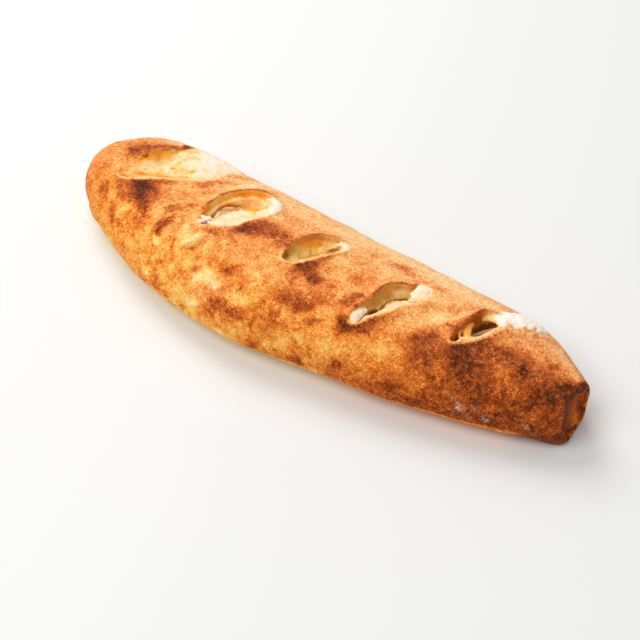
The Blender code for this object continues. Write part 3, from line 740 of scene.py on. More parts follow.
# Fields of wrinkles: (x, arc, long radius along the folds, short radius, turn,
# height, spacing).
WRINKLES = (
    (-67.3, 32.5, 17.9, 12.4, -62, 0.8, 4.5),
    (-100.0, 23.4, 14.0, 9.3, -79, 0.6, 4.5),
    (-92.7, 7.8, 19.1, 8.1, -53, 0.5, 4),
    (-87.0, -18.1, 18.0, 7.9, -55, 0.5, 3.6),
    (-94.7, 44.4, 15.2, 7.8, -10, 0.4, 4.5),
    (-130.6, 44.3, 20.5, 5.5, -26, 0.35, 4),
    (130.2, 16.4, 11.7, 6.4, -67, 0.35, 4.5),
    (149.2, -2.4, 12.5, 6.6, -28, 0.45, 3.6),
    (12.7, 14.2, 13.8, 6.5, -49, 0.35, 4.5),
    (179.5, -2.4, 10.3, 6.2, 9, 0.4, 4),
    (-33.3, 58.9, 12.4, 8.7, -34, 0.35, 5),
)


def skin_features(x, w):
    rise = np.zeros(len(x))
    p = np.stack([x, w], axis=1)
    for line, high, wide in RIDGES:
        pts = np.array(line)
        box = (
            (x > pts[:, 0].min() - 3 * wide)
            & (x < pts[:, 0].max() + 3 * wide)
            & (w > pts[:, 1].min() - 3 * wide)
            & (w < pts[:, 1].max() + 3 * wide)
        )
        if not box.any():
            continue
        d, along = chain(p[box], rounded(line, False, 4))
        taper = np.sin(np.pi * np.clip(along, 0.03, 0.97)) ** 0.6
        rise[box] += high * np.exp(-((d / wide) ** 2)) * taper
    for cx, cw, ra, rb, turn, high in BUMPS:
        u, v = ellipse(x, w, cx, cw, ra, rb, turn)
        rise += high * np.exp(-((u * u + v * v) ** 1.4))
    # Stretch wrinkles, strongest on the shoulder between the first two vents.
    for cx, cw, ra, rb, turn, high, size in WRINKLES:
        u, v = ellipse(x, w, cx, cw, ra, rb, turn)
        r = u * u + v * v
        box = np.flatnonzero(r < 4.0)
        if len(box):
            q = flat3(u[box] * ra / 3.4, v[box] * rb, cx)
            folds = 1.0 - 2.2 * np.abs(N2.rough(q, size, 2))
            rise[box] += high * folds * np.exp(-(r[box] ** 1.5))
    return rise


# ------------------------------------------------------------------- solids
DOUGH = 6.5  # the filling starts this far below the skin
GAP = 0.04


def end_plane(y, z):
    """Where the loaf ends. Its near edge leans in towards the top, and its
    far edge reaches out further."""
    near = np.interp(z, (2.0, 10.0, 18.0, 37.0), (197.2, 195.2, 193.8, 192.4))
    across = np.clip((y + 8.0) / 15.5, -0.12, 1.1)
    tucked = 1.8 * smooth(36.0, 32.5, z) * smooth(-3.0, 4.0, y)
    return near + (198.4 - near) * across - tucked


def loaf(p, detail=True):
    """(solid, h): the whole loaf's field, below 0 inside, and height above
    the smooth skin."""
    x, y, z = p[:, 0], p[:, 1], p[:, 2]
    h = skin(x, y, z)
    relief = np.zeros(len(p))
    inner = np.zeros(len(p))
    near = (h > -22.0) & (h < 9.0) & (z > 18.0)
    for vent in VENT_MAPS:
        sel = np.flatnonzero(near)
        sel = sel[vent.near(x[sel], y[sel])]
        if len(sel):
            m = vent.sample(x[sel], y[sel], h[sel])
            r = m[:, 0] * smooth(20.0, 27.0, z[sel])
            old = relief[sel]
            relief[sel] = np.where(r > 0, r, np.where(old > 0, old, np.minimum(old, r)))
            inner[sel] = np.maximum(inner[sel], smooth(0.3, -0.8, m[:, 1]))
    field = h + relief
    if detail:
        sel = np.flatnonzero(np.abs(field) < 3.0)
        q = p[sel]
        plain = 1.0 - inner[sel]
        w = unroll(q[:, 0], q[:, 1], q[:, 2])
        lumps = (
            0.75 * N1(q, 34.0)
            + 0.42 * N2(q, 16.0)
            + 0.24 * N3(q, 8.0)
            + 0.13 * N4(q, 4.2)
            + 0.085 * N5(q, 2.3)
        )
        lumps = lumps + skin_features(q[:, 0], w)
        low = smooth(16.0, 3.0, q[:, 2])
        lumps = lumps + 0.55 * low * N2(flat3(q[:, 0], q[:, 1] * 0.3, 5.0), 21.0)
        lumps = lumps + 0.8 * smooth(3.6, 0.8, q[:, 2])
        torn = 0.16 * N3(q, 3.4) + 0.09 * N4(q, 1.7)
        field[sel] -= lumps * plain + torn * (1 - plain)
    # The flat base, its edge lifting a little here and there.
    foot = 0.35 + 0.45 * N4(flat3(x, y, 0.0), 24.0)
    foot = np.clip(foot, 0.0, 1.0) * smooth(-9.0, 0.0, h)
    field = smax(field, foot - z, 1.3)
    # The folded end.
    end = (x - end_plane(y, z)) / 1.05
    ragged = 0.45 * N3(flat3(y, z, 3.0), 7.0) + 0.25 * N4(flat3(y, z, 9.0), 3.0)
    end = end + ragged
    sel = np.flatnonzero(x > 178.0)
    r = 0.7 + 2.4 * smooth(-6.0, -12.0, y[sel]) * smooth(38.0, 30.0, z[sel])
    a, b = field[sel] + r, end[sel] + r
    field[sel] = (
        np.hypot(np.maximum(a, 0.0), np.maximum(b, 0.0))
        + np.minimum(np.maximum(a, b), 0.0)
        - r
    )
    return field, h, inner


def end_fold(y, z):
    """Across the slanting edge of the inner flap, + on the flap."""
    return ((z - 35.6) + 1.63 * (y + 3.3)) / 1.91


def near_rim(z):
    return np.interp(z, (2.0, 10.0, 20.0, 30.0, 38.0), (-9.9, -9.4, -9.3, -8.9, -8.0))


def tuck(p, h):
    """The sunk face of the folded end: below 0 in the air of the recess."""
    x, y, z = p[:, 0], p[:, 1], p[:, 2]
    fold = end_fold(y, z) + 0.5 * N4(flat3(y, z, 4.0), 5.0)
    flap = smooth(-0.5, 0.5, fold)
    edge = near_rim(z)
    deep = 4.6 - 2.6 * smooth(-8.0, 6.0, y) + 0.4 * N3(flat3(y, z, 1.0), 6.0)
    deep = deep + 1.8 * np.exp(-(((fold + 1.6) / 1.3) ** 2))
    deep = deep + (1.3 + 0.05 * (36.0 - z) - deep) * flap
    # A pocket at the top of the near edge, a gap behind it and a small hole.
    deep = deep + 4.0 * np.exp(-(((y + 5.6) / 2.6) ** 2 + ((z - 32.5) / 4.0) ** 2))
    deep = deep + 3.5 * np.exp(-(((y - edge - 1.0) / 0.9) ** 2))
    deep = deep + 3.0 * np.exp(-(((y - 3.4) / 1.3) ** 2 + ((z - 27.2) / 1.3) ** 2))
    face = end_plane(y, z) - deep - x
    rim = np.maximum(h + 2.0, edge - y + 0.25 * N4(p, 5.0))
    rim = np.maximum(rim, y - 9.4 + 0.9 * N3(flat3(y, z, 2.0), 6.0))
    floor = 2.4 - z
    return smax(smax(face, rim, 0.5), floor, 1.5)


def crust_side(p, h):
    """Above 0 in the dough shell, below 0 where the filling is."""
    x, y, z = p[:, 0], p[:, 1], p[:, 2]
    thick = np.full(len(p), DOUGH)
    mound = np.full(len(p), 50.0)
    near = (h > -22.0) & (h < 9.0) & (z > 18.0)
    # The first vent shows stretched dough only.
    for vent in VENT_MAPS[1:]:
        sel = np.flatnonzero(near)
        sel = sel[vent.near(x[sel], y[sel])]
        if len(sel):
            m = vent.sample(x[sel], y[sel])
            out, share = m[:, 1], m[:, 2]
            part = vent.part
            if vent.index == 1:
                u, v = vent.local(x[sel], y[sel])
                part = part - 0.14 * smooth(-4.0, 7.0, u)
            wall = smooth(part - 0.1, part, share) * smooth(5.0, 1.0, out)
            thick[sel] = np.maximum(thick[sel], DOUGH + 9.0 * wall)
            width = m[:, 3] + m[:, 4]
            edge = np.maximum(out + 0.9, (share - part) * width)
            edge = np.maximum(edge, 27.0 - z[sel])
            mound[sel] = np.minimum(mound[sel], edge)
    core = np.minimum(thick + h, 50.0)
    core = np.maximum(core, 5.0 - z)
    core = np.maximum(core, x - 178.0)
    core = np.maximum(core, -181.0 - x)
    return np.minimum(core, mound)


def torn_dough(p, h, which):
    best = np.full(len(p), 1e3)
    sel = np.flatnonzero((np.abs(h) < 12.0) & (p[:, 2] > 18.0))
    if not len(sel):
        return best
    q, hq = p[sel], h[sel]
    value = np.full(len(sel), 1e3)
    for line in which:
        pts = np.array(line[0])
        box = (
            (q[:, 0] > pts[:, 0].min() - 10)
            & (q[:, 0] < pts[:, 0].max() + 10)
            & (q[:, 1] > pts[:, 1].min() - 10)
            & (q[:, 1] < pts[:, 1].max() + 10)
        )
        k = np.flatnonzero(box)
        if not len(k):
            continue
        d = strand(q[k], hq[k], line)
        d = d + line[1] * (0.55 * N3(q[k], 5.0) + 0.75 * N4(q[k], 3.0) + 0.45 * N5(q[k], 1.7))
        value[k] = np.minimum(value[k], d)
    best[sel] = value
    return best


def crust_field(p):
    solid, h, _ = loaf(p)
    field = solid.copy()
    near = np.flatnonzero(np.abs(h) < 12.0)
    q = p[near]
    pale = torn_dough(q, h[near], STRANDS)
    crumb = torn_dough(q, h[near], CRUMBS)
    field[near] = smin(smin(field[near], pale, 2.2), crumb, 1.6)
    end = np.flatnonzero(p[:, 0] > 180.0)
    if len(end):
        field[end] = smax(field[end], -tuck(p[end], h[end]), 0.5)
    side = crust_side(p, h)
    side[near] = np.maximum(side[near], np.minimum(-pale, -crumb) * 0 - np.minimum(pale, crumb))
    return np.maximum(field, GAP - side)


def filling_field(p):
    solid, h, _ = loaf(p)
    field = solid.copy()
    side = crust_side(p, h)
    near = np.flatnonzero(np.abs(h) < 12.0)
    q = p[near]
    dough = np.minimum(
        torn_dough(q, h[near], STRANDS), torn_dough(q, h[near], CRUMBS)
    )
    field = np.maximum(field, side + GAP)
    field[near] = np.maximum(field[near], 2 * GAP - dough)
    return field


# ------------------------------------------------------------------ meshing
def surface_mesh(field, low, high, voxel, reach, label):
    """Vertices and quads of the zero surface of field, by surface nets on a
    grid that is only worked out near the surface."""
    low, high = np.array(low, float), np.array(high, float)
    n = np.ceil((high - low) / voxel).astype(int) + 1
    n = (n + 3) // 4 * 4 + 1
    coarse = [low[k] + voxel * np.arange(0, n[k], 4) for k in range(3)]
    grid = np.stack(np.meshgrid(*coarse, indexing="ij"), axis=-1)
    shape = grid.shape[:3]
    values = field(grid.reshape(-1, 3)).reshape(shape)
    bands = np.abs(values) < 4 * voxel * 1.9
    # Also wherever the sign changes between neighbours.
    for axis in range(3):
        a = [slice(None)] * 3
        b = [slice(None)] * 3
        a[axis], b[axis] = slice(0, -1), slice(1, None)
        change = (values[tuple(a)] < 0) != (values[tuple(b)] < 0)
        bands[tuple(a)] |= change
        bands[tuple(b)] |= change
    bands |= reach(grid.reshape(-1, 3)).reshape(shape)
    cells = np.zeros(tuple(s - 1 for s in shape), bool)
    for dx in (0, 1):
        for dy in (0, 1):
            for dz in (0, 1):
                cells |= bands[
                    dx : shape[0] - 1 + dx, dy : shape[1] - 1 + dy, dz : shape[2] - 1 + dz
                ]
    fine = np.zeros(tuple(n), bool)
    block = np.repeat(np.repeat(np.repeat(cells, 4, 0), 4, 1), 4, 2)
    for dx in (0, 1):
        for dy in (0, 1):
            for dz in (0, 1):
                fine[
                    dx : n[0] - 1 + dx, dy : n[1] - 1 + dy, dz : n[2] - 1 + dz
                ] |= block
    # Elsewhere the coarse sign is enough.
    sign = np.where(values < 0, -9.0, 9.0).astype(np.float32)
    full = np.repeat(np.repeat(np.repeat(sign, 4, 0), 4, 1), 4, 2)
    full = full[: n[0], : n[1], : n[2]].copy()
    index = np.argwhere(fine)
    got = np.empty(len(index), np.float32)
    for start in range(0, len(index), 300000):
        part = index[start : start + 300000]
        got[start : start + 300000] = field(low + voxel * part)
    full[fine] = got
    vertices, quads = nets(full, low, voxel)
    print(f"{label}: {len(index)} samples, {len(vertices)} vertices, {time.perf_counter() - STARTED:.0f} s", flush=True)
    return settle(field, vertices, voxel), quads


def nets(f, low, voxel):
    nx, ny, nz = f.shape
    sign = f < 0
    corners = [(dx, dy, dz) for dx in (0, 1) for dy in (0, 1) for dz in (0, 1)]
    count = np.zeros((nx - 1, ny - 1, nz - 1), np.int8)
    for dx, dy, dz in corners:
        count += sign[dx : nx - 1 + dx, dy : ny - 1 + dy, dz : nz - 1 + dz]
    cells = np.argwhere((count > 0) & (count < 8))
    number = np.full((nx - 1, ny - 1, nz - 1), -1, np.int32)
    number[cells[:, 0], cells[:, 1], cells[:, 2]] = np.arange(len(cells))
    total = np.zeros((len(cells), 3))
    hits = np.zeros(len(cells))
    edges = [
        (a, b)
        for i, a in enumerate(corners)
        for b in corners[i + 1 :]
        if sum(abs(a[k] - b[k]) for k in range(3)) == 1
    ]
    for a, b in edges:
        ca, cb = cells + a, cells + b
        fa = f[ca[:, 0], ca[:, 1], ca[:, 2]].astype(float)
        fb = f[cb[:, 0], cb[:, 1], cb[:, 2]].astype(float)
        cross = (fa < 0) != (fb < 0)
        t = np.where(cross, fa / np.where(cross, fa - fb, 1.0), 0.0)
        point = ca + t[:, None] * (np.array(b) - np.array(a))
        total += np.where(cross[:, None], point, 0.0)
        hits += cross
    vertices = low + voxel * total / hits[:, None]
    quads = []
    for axis in range(3):
        u, v = (axis + 1) % 3, (axis + 2) % 3
        a = [slice(1, -1)] * 3
        b = [slice(1, -1)] * 3
        a[axis], b[axis] = slice(0, -1), slice(1, None)
        sa, sb = sign[tuple(a)], sign[tuple(b)]
        at = np.argwhere(sa != sb)
        enters = sa[at[:, 0], at[:, 1], at[:, 2]]
        base = at.copy()
        base[:, u] += 1
        base[:, v] += 1
        ring = []
        for du, dv in ((-1, -1), (0, -1), (0, 0), (-1, 0)):
            c = base.copy()
            c[:, u] += du
            c[:, v] += dv
            ring.append(number[c[:, 0], c[:, 1], c[:, 2]])
        ring = np.stack(ring, axis=1)
        ring = np.where(enters[:, None], ring, ring[:, ::-1])
        quads.append(ring[(ring >= 0).all(axis=1)])
    return vertices, np.vstack(quads)


def settle(field, vertices, voxel):
    """Moves each vertex on to the surface."""
    step = 0.2
    for _ in range(2):
        f = field(vertices)
        grad = np.stack(
            [(field(vertices + step * axis) - f) / step for axis in np.eye(3)], axis=1
        )
        size = np.maximum((grad**2).sum(axis=1), 0.3)
        move = -(f / size)[:, None] * grad
        length = np.linalg.norm(move, axis=1)
        move *= np.minimum(1.0, 0.45 * voxel / np.maximum(length, 1e-9))[:, None]
        vertices = vertices + move
    return vertices


def mesh_object(name, vertices, quads):
    data = bpy.data.meshes.new(name)
    data.vertices.add(len(vertices))
    data.vertices.foreach_set("co", (vertices * MM).astype(np.float32).ravel())
    data.loops.add(4 * len(quads))
    data.loops.foreach_set("vertex_index", quads.astype(np.int32).ravel())
    data.polygons.add(len(quads))
    data.polygons.foreach_set("loop_start", np.arange(0, 4 * len(quads), 4, dtype=np.int32))
    data.update(calc_edges=True)
    obj = bpy.data.objects.new(name, data)
    bpy.context.scene.collection.objects.link(obj)
    return obj


def positions(obj):
    co = np.empty(3 * len(obj.data.vertices), np.float32)
    obj.data.vertices.foreach_get("co", co)
    return co.reshape(-1, 3).astype(float) / MM


def thin_out(obj, keep, triangles):
    """Reduces the mesh where keep (0 to 1 per vertex) is low first."""
    have = 2 * len(obj.data.polygons)
    if have <= triangles:
        return
    group = obj.vertex_groups.new(name="spare")
    levels = np.round(np.clip(1.0 - keep, 0.0, 1.0) * 10).astype(int)
    for level in range(11):
        ids = np.flatnonzero(levels == level)
        if level and len(ids):
            group.add(ids.tolist(), level / 10.0, "REPLACE")
    modifier = obj.modifiers.new("Thin out", "DECIMATE")
    modifier.ratio = triangles / have
    modifier.use_collapse_triangulate = True
    modifier.vertex_group = "spare"
    modifier.vertex_group_factor = 6.0
    graph = bpy.context.evaluated_depsgraph_get()
    reduced = bpy.data.meshes.new_from_object(obj.evaluated_get(graph))
    obj.modifiers.clear()
    old = obj.data
    obj.data = reduced
    bpy.data.meshes.remove(old)
    obj.vertex_groups.clear()
    reduced.name = obj.name


def mend(obj, field, vertices):
    """Puts back vertices that thinning threw off the surface."""
    q = positions(obj)
    off = np.abs(field(q)) > 0.7
    bad = np.flatnonzero(off)
    edges = np.empty(2 * len(obj.data.edges), np.int32)
    obj.data.edges.foreach_get("vertices", edges)
    edges = edges.reshape(-1, 2)
    for i in bad:
        d = ((vertices - q[i]) ** 2).sum(axis=1)
        if d.min() > 4.0:
            ends = edges[(edges == i).any(axis=1)].ravel()
            good = ends[(ends != i) & ~off[ends]]
            if len(good):
                d = ((vertices - q[good].mean(axis=0)) ** 2).sum(axis=1)
        q[i] = vertices[int(np.argmin(d))]
    obj.data.vertices.foreach_set("co", (q * MM).astype(np.float32).ravel())
    obj.data.update()
    print(f"{obj.name}: {len(bad)} vertices put back", flush=True)


def give(obj, name, values):
    attribute = obj.data.attributes.new(name, "FLOAT", "POINT")
    attribute.data.foreach_set("value", np.clip(values, 0.0, 1.0).astype(np.float32))


# ------------------------------------------------------------------ painting
# Patches of the bake on the skin: (x, arc, long radius, short radius, turn in
# degrees, how dark it bakes there, how strongly).
PATCHES = (
    (-128.8, 19.9, 16.8, 9.8, -17, 0.86, 0.97),
    (-131.3, 16.3, 7.2, 4.8, -14, 1, 0.95),
    (-117, 28.3, 10, 5.4, 37, 0.78, 0.85),
    (-125.2, 22.3, 6.8, 4.6, 35, 0.95, 0.8),
    (-118, 3.9, 9.9, 2.7, -36, 0.74, 0.8),
    (-138.9, 25.1, 7.3, 5.9, 4, 0.66, 0.7),
    (-116.3, 19.2, 6.3, 5.1, 21, 0.66, 0.6),
    (-155.2, -7.5, 9.5, 7.7, -62, 0.8, 0.88),
    (-156.8, -1.8, 4.7, 4.1, 12, 0.84, 0.7),
    (-143.1, -21.6, 15.5, 4.7, -51, 0.8, 0.8),
    (-134.8, -36.6, 5.8, 3.1, 64, 0.97, 0.95),
    (-158.2, -20.1, 15.2, 5.8, -47, 0.54, 0.55),
    (-155.5, 33.9, 8.2, 3.9, 49, 0.72, 0.85),
    (-136.8, 45.5, 6, 3.6, 60, 0.74, 0.85),
    (-126.9, 47.7, 4.7, 2.6, 48, 0.68, 0.75),
    (-123.9, 40, 5.2, 2.8, 43, 0.66, 0.65),
    (-171.8, 24, 8.3, 2.7, 46, 0.58, 0.6),
    (-165.7, 17.3, 5.4, 4.2, -11, 0.58, 0.6),
    (-112.7, 48, 4.8, 3.8, -4, 0.66, 0.65),
    (-112.9, 39.7, 5.3, 3.9, -8, 0.68, 0.7),
    (-152.3, 45.8, 4.9, 3.2, 75, 0.6, 0.5),
    (-171.3, 33.9, 8.3, 3.2, 50, 0.6, 0.5),
    (-89, -19.2, 14.6, 3.6, -49, 0.7, 0.75),
    (-91.6, -10.2, 6.5, 2.3, -41, 0.72, 0.6),
    (-82.4, -40.7, 11.9, 5.4, -54, 0.6, 0.6),
    (-97.4, 17.5, 7.2, 2.5, -40, 0.7, 0.65),
    (-88.4, 10, 8.1, 2.6, -47, 0.64, 0.6),
    (-92.4, 2.6, 6.5, 2.4, -46, 0.56, 0.5),
    (-99.2, 10.4, 6.5, 1.9, -46, 0.58, 0.4),
    (-87.3, -7.8, 6.7, 2, -56, 0.58, 0.5),
    (-92.7, 29, 7.2, 3.8, -88, 0.82, 0.95),
    (-91.2, 36.4, 3.6, 2.4, -17, 0.96, 0.9),
    (-92.5, 43.2, 3.9, 1.4, 49, 0.8, 0.7),
    (-89, 41.3, 4.3, 3.3, 8, 0.02, 0.95),
    (-76.3, 38.8, 6.7, 2, 56, 0.74, 0.75),
    (-87.3, 28.5, 5.9, 2.3, 65, 0.66, 0.5),
    (-74.1, 33.4, 4.4, 1.9, 56, 0.62, 0.4),
    (-85.2, 56.5, 7.2, 2.5, -23, 0.58, 0.5),
    (-77.6, 52.4, 4.2, 2.2, -22, 0.62, 0.5),
    (-60.4, 55.3, 9, 5.1, -23, 0.57, 0.55),
    (-98.4, 53.6, 5.6, 3.2, -20, 0.56, 0.4),
    (-77.7, 65.9, 5.8, 3, -18, 0.55, 0.4),
    (-116.2, 57.8, 5.3, 3.4, -48, 0.6, 0.4),
    (-38.3, 0, 14, 6.5, -26, 0.81, 0.92),
    (-42, 3, 4.7, 3.6, -21, 0.94, 0.9),
    (-25.6, -3.6, 14.2, 7.8, -2, 0.71, 0.8),
    (-12.6, -3, 9.2, 6.3, 36, 0.74, 0.75),
    (-57.6, 15.8, 8.1, 3.4, -22, 0.7, 0.75),
    (-48.2, 15, 6.3, 4.2, -19, 0.6, 0.5),
    (-32.7, -6, 6.6, 3.9, -43, 0.78, 0.5),
    (-28.4, 33.6, 9.5, 5.5, -20, 0.6, 0.75),
    (-28.4, 34.7, 4.2, 2.9, -14, 0.82, 0.7),
    (-15.1, 36.9, 4.4, 3.7, 24, 0.6, 0.6),
    (-23.3, 45.3, 4.8, 3.8, 26, 0.62, 0.6),
    (-33.5, 53.4, 5.9, 3.3, -37, 0.54, 0.5),
    (-25.9, 58.3, 10.6, 5.5, -15, 0.6, 0.8),
    (-23.6, 57.9, 4.5, 3.1, -23, 0.78, 0.6),
    (-8.9, 56.6, 9.9, 4.3, -20, 0.7, 0.75),
    (-12.8, 56.4, 3.5, 2.5, -21, 0.8, 0.5),
    (-4.9, 56.9, 4.2, 2.4, -24, 0.78, 0.5),
    (2.7, 46.6, 5.9, 4.3, -17, 0.62, 0.55),
    (9.5, 54.3, 7.3, 6.1, -22, 0.66, 0.7),
    (15.8, 59.4, 5.5, 3.7, -31, 0.58, 0.45),
    (17.3, 29.7, 8.1, 5.5, -25, 0.72, 0.75),
    (20.1, 35.3, 11.5, 6.1, -20, 0.7, 0.75),
    (27, 34.8, 5.6, 3.2, -25, 0.78, 0.7),
    (14.6, 35.8, 3.8, 3.4, -10, 0.76, 0.5),
    (34.9, 26.9, 5.5, 4.4, -25, 0.64, 0.6),
    (14, 8.7, 10.8, 6.8, -52, 0.8, 0.92),
    (12.5, 8.5, 4, 3.1, -33, 0.92, 0.85),
    (18.2, -1.4, 7.3, 3, -58, 0.76, 0.75),
    (21.3, 13, 5.9, 4.5, 33, 0.82, 0.8),
    (24.8, 15.8, 3.7, 3.1, -25, 0.92, 0.7),
    (6.9, 8, 3.8, 2.5, -31, 0.76, 0.5),
    (35.5, 14.6, 4.9, 4.3, -23, 0.68, 0.7),
    (46.6, 1.9, 5.2, 3.9, -27, 0.62, 0.6),
    (51.2, 17.9, 7.2, 3.6, -51, 0.72, 0.75),
    (54.7, 12.5, 3, 2.6, -24, 0.82, 0.7),
    (49.3, 21.5, 2.9, 2.2, -15, 0.76, 0.5),
    (36.6, 40, 3.1, 2.9, -2, 0.72, 0.7),
    (48.9, 31.2, 5.4, 3.2, -24, 0.56, 0.45),
    (4.9, 74.7, 9.8, 4.4, -58, 0.72, 0.75),
    (13.6, 76.5, 9.6, 3.5, -54, 0.62, 0.5),
    (24.7, 71.7, 5.5, 2.7, -59, 0.62, 0.5),
    (32.9, 60.7, 5.7, 3, 83, 0.7, 0.75),
    (37.1, 68.7, 5.5, 3, -60, 0.8, 0.8),
    (29, 74.2, 10.5, 2.9, -67, 0.66, 0.5),
    (62, 59, 5.4, 4.1, -64, 0.78, 0.8),
    (58.8, 67.3, 6.1, 3.3, -37, 0.74, 0.7),
    (69.3, 64.5, 5.7, 3.2, -32, 0.72, 0.7),
    (50.5, 63.5, 5.8, 3.8, -56, 0.62, 0.5),
    (72.5, 58, 4.4, 3.4, -59, 0.62, 0.5),
    (63.1, 32.8, 10, 4.9, -32, 0.9, 0.97),
    (54.9, 31.7, 4.1, 2.7, 52, 0.88, 0.8),
    (70.3, 23.1, 6.5, 3.9, -47, 0.8, 0.88),
    (66.2, 33.4, 5.3, 2.5, -25, 0.82, 0.6),
    (75.1, 16.3, 5, 2, -42, 0.68, 0.5),
    (61.4, 40.6, 6, 3.7, -23, 0.56, 0.35),
    (86.7, 37.3, 12.8, 8.5, -30, 0.24, 0.6),
    (66.1, 43, 10.9, 5.8, -13, 0.3, 0.4),
    (97.3, 52.7, 5.9, 4.7, -84, 0.67, 0.8),
    (102.8, 45.1, 10.5, 5.2, -5, 0.36, 0.5),
    (97.9, 55.3, 2.8, 2, -45, 0.9, 0.75),
    (87.8, 59.8, 9.4, 2.7, -16, 0.7, 0.6),
    (109.3, 53.2, 5.8, 4.2, -43, 0.5, 0.35),
    (117.1, 61.1, 6.3, 4.2, -31, 0.8, 0.8),
    (103.2, 70.9, 7.9, 2.5, -45, 0.66, 0.4),
    (125.3, 48.2, 5.2, 4.4, -66, 0.62, 0.3),
    (104.3, 23.1, 9.4, 8.2, -62, 0.72, 0.85),
    (103.4, 15.8, 6.3, 3.7, -20, 0.78, 0.8),
    (103.6, 33.4, 5.4, 4.5, 58, 0.7, 0.5),
    (112.7, 19.7, 3.5, 2.8, 60, 0.66, 0.5),
    (129.3, 22.9, 10.2, 8.1, -76, 0.83, 0.9),
    (125.8, 18.9, 7.4, 5.2, -57, 0.86, 0.85),
    (127.6, 10.7, 6.7, 3.2, -41, 0.84, 0.8),
    (131.9, 26.4, 4.5, 3.5, -24, 0.88, 0.6),
    (119.7, 20.6, 4.7, 3.4, 60, 0.8, 0.5),
    (142.9, 19.5, 7.6, 3.4, 62, 0.82, 0.6),
    (147.5, 34.3, 8.4, 5.6, 78, 0.8, 0.6),
    (158.2, 26.2, 5.1, 3.5, 67, 0.8, 0.6),
    (144.7, 7.3, 6.8, 4.2, -35, 0.72, 0.4),
    (132.1, 38.2, 6, 4.6, -38, 0.72, 0.4),
    (161.1, 7.8, 5.5, 4.5, 74, 0.78, 0.75),
    (162.1, 11.9, 3.2, 2.8, -51, 0.92, 0.8),
    (175.4, 21.1, 4.2, 3.6, -78, 0.95, 0.85),
    (179.3, 15.6, 4.4, 3.9, -76, 0.84, 0.5),
    (176.7, -3.6, 4.6, 2.1, -50, 0.8, 0.7),
    (166.3, -7.7, 5.6, 2.3, -42, 0.66, 0.5),
    (167.6, 32.3, 5.5, 3.1, -39, 0.8, 0.4),
    (162.7, 47.8, 7.5, 3.7, -36, 0.78, 0.35),
    (186.9, 7.2, 10.3, 4.3, -59, 0.93, 0.9),
    (191.8, 2.5, 5.3, 2.2, -72, 0.95, 0.8),
    (182.9, 14.9, 5, 4, -56, 0.86, 0.6),
    (193.3, 15.9, 7.4, 1.7, 69, 0.92, 0.7),
    (189.9, 23.8, 6.5, 4.1, -87, 0.8, 0.5),
    (183, 32.5, 6.4, 3.4, -48, 0.76, 0.3),
    (194.1, -3.6, 7.4, 1.5, -81, 0.97, 0.8),
    (41.6, -25.5, 6.8, 3.4, -37, 0.56, 0.6),
    (60.3, -26.6, 6.7, 3.6, -20, 0.68, 0.7),
    (67.9, -24.7, 5, 3, 3, 0.62, 0.6),
    (17.6, -22.5, 7.5, 2.3, -30, 0.5, 0.3),
    (109.3, -11, 8.3, 3.7, -50, 0.56, 0.5),
    (112.4, -6.3, 6.1, 2.5, -52, 0.2, 0.7),
    (76.3, -19.5, 7.5, 2.1, -36, 0.64, 0.7),
    (90.4, -17.5, 4.7, 3.2, -24, 0.58, 0.6),
    (99.4, -18.4, 5.8, 2.7, -21, 0.54, 0.5),
    (94.1, -4, 6.9, 2.5, -42, 0.56, 0.5),
    (-11, -26, 16, 3.8, 1, 0.5, 0.55),
    (-55.2, -39.9, 8.5, 3.8, -33, 0.6, 0.6),
    (-42.3, 46.9, 7.2, 4.1, -27, 0.1, 0.8),
    (-32.6, 46.7, 5.8, 2.7, -22, 0.12, 0.75),
    (-53.1, 40.8, 4.8, 3, -40, 0.24, 0.5),
    (-44.1, 66.7, 5.9, 4.2, -48, 0.02, 0.9),
    (-47.6, 63.3, 7.9, 6.1, -36, 0.18, 0.7),
    (-66.3, 29.3, 9.2, 3.8, -63, 0.14, 0.8),
    (-73.1, 37.9, 3.3, 2.6, 7, 0.22, 0.6),
    (-128.3, 37.5, 4.3, 2.4, -48, 0.14, 0.75),
    (-112.6, 53.1, 3.3, 3, 87, 0.22, 0.6),
    (-104.9, 54.1, 4.3, 2.2, 0, 0.22, 0.5),
    (-9.7, 48.8, 8.3, 3.7, -18, 0.2, 0.7),
    (-16.7, 47.8, 4.1, 2.5, -16, 0.24, 0.5),
    (-0.9, 42, 4.5, 2.7, -22, 0.28, 0.5),
    (-7.1, 18.4, 6.9, 3.9, 58, 0.32, 0.5),
    (-0.7, 26.2, 6.2, 5.6, 31, 0.5, 0.55),
    (-6.1, 5.9, 3.6, 2.4, 47, 0.26, 0.5),
    (0.6, 23.8, 4, 3.2, 14, 0.3, 0.4),
    (85.4, 38.6, 5.3, 3.6, -23, 0.12, 0.35),
    (153.8, -6.1, 8.1, 3.4, -28, 0.44, 0.5),
    (164.7, -4.2, 6.9, 4, -7, 0.46, 0.45),
    (12.9, 72.5, 4.1, 2.1, -54, 0.4, 0.2),
    (-61.5, 49.4, 6.2, 3.3, -18, 0.26, 0.35),
    (-82.4, 75.7, 4.9, 0.6, 7, 0.28, 0.4),
    (11.5, 40.3, 3.8, 3.2, 1, 0.34, 0.3),
    (151, 18.9, 4.6, 4.2, -44, 0.58, 0.3),
    (165.1, 25.7, 4, 2.7, -35, 0.6, 0.35),
    (121.1, 35.3, 4.6, 4.1, -23, 0.56, 0.4),
    (113.7, 47.1, 5.8, 3.6, -16, 0.5, 0.35),
    (31.8, -7.7, 8.4, 3.7, -47, 0.26, 0.6),
    (18.4, 22.7, 3.7, 3, -24, 0.3, 0.4),
    (35.2, 4.2, 6.1, 4.4, -36, 0.3, 0.4),
    (26.4, 59.7, 6.8, 5.7, -71, 0.26, 0.7),
    (34.9, 50.4, 4.6, 4.2, -39, 0.3, 0.5),
    (-8.7, 70.1, 6.7, 4.5, -40, 0.3, 0.5),
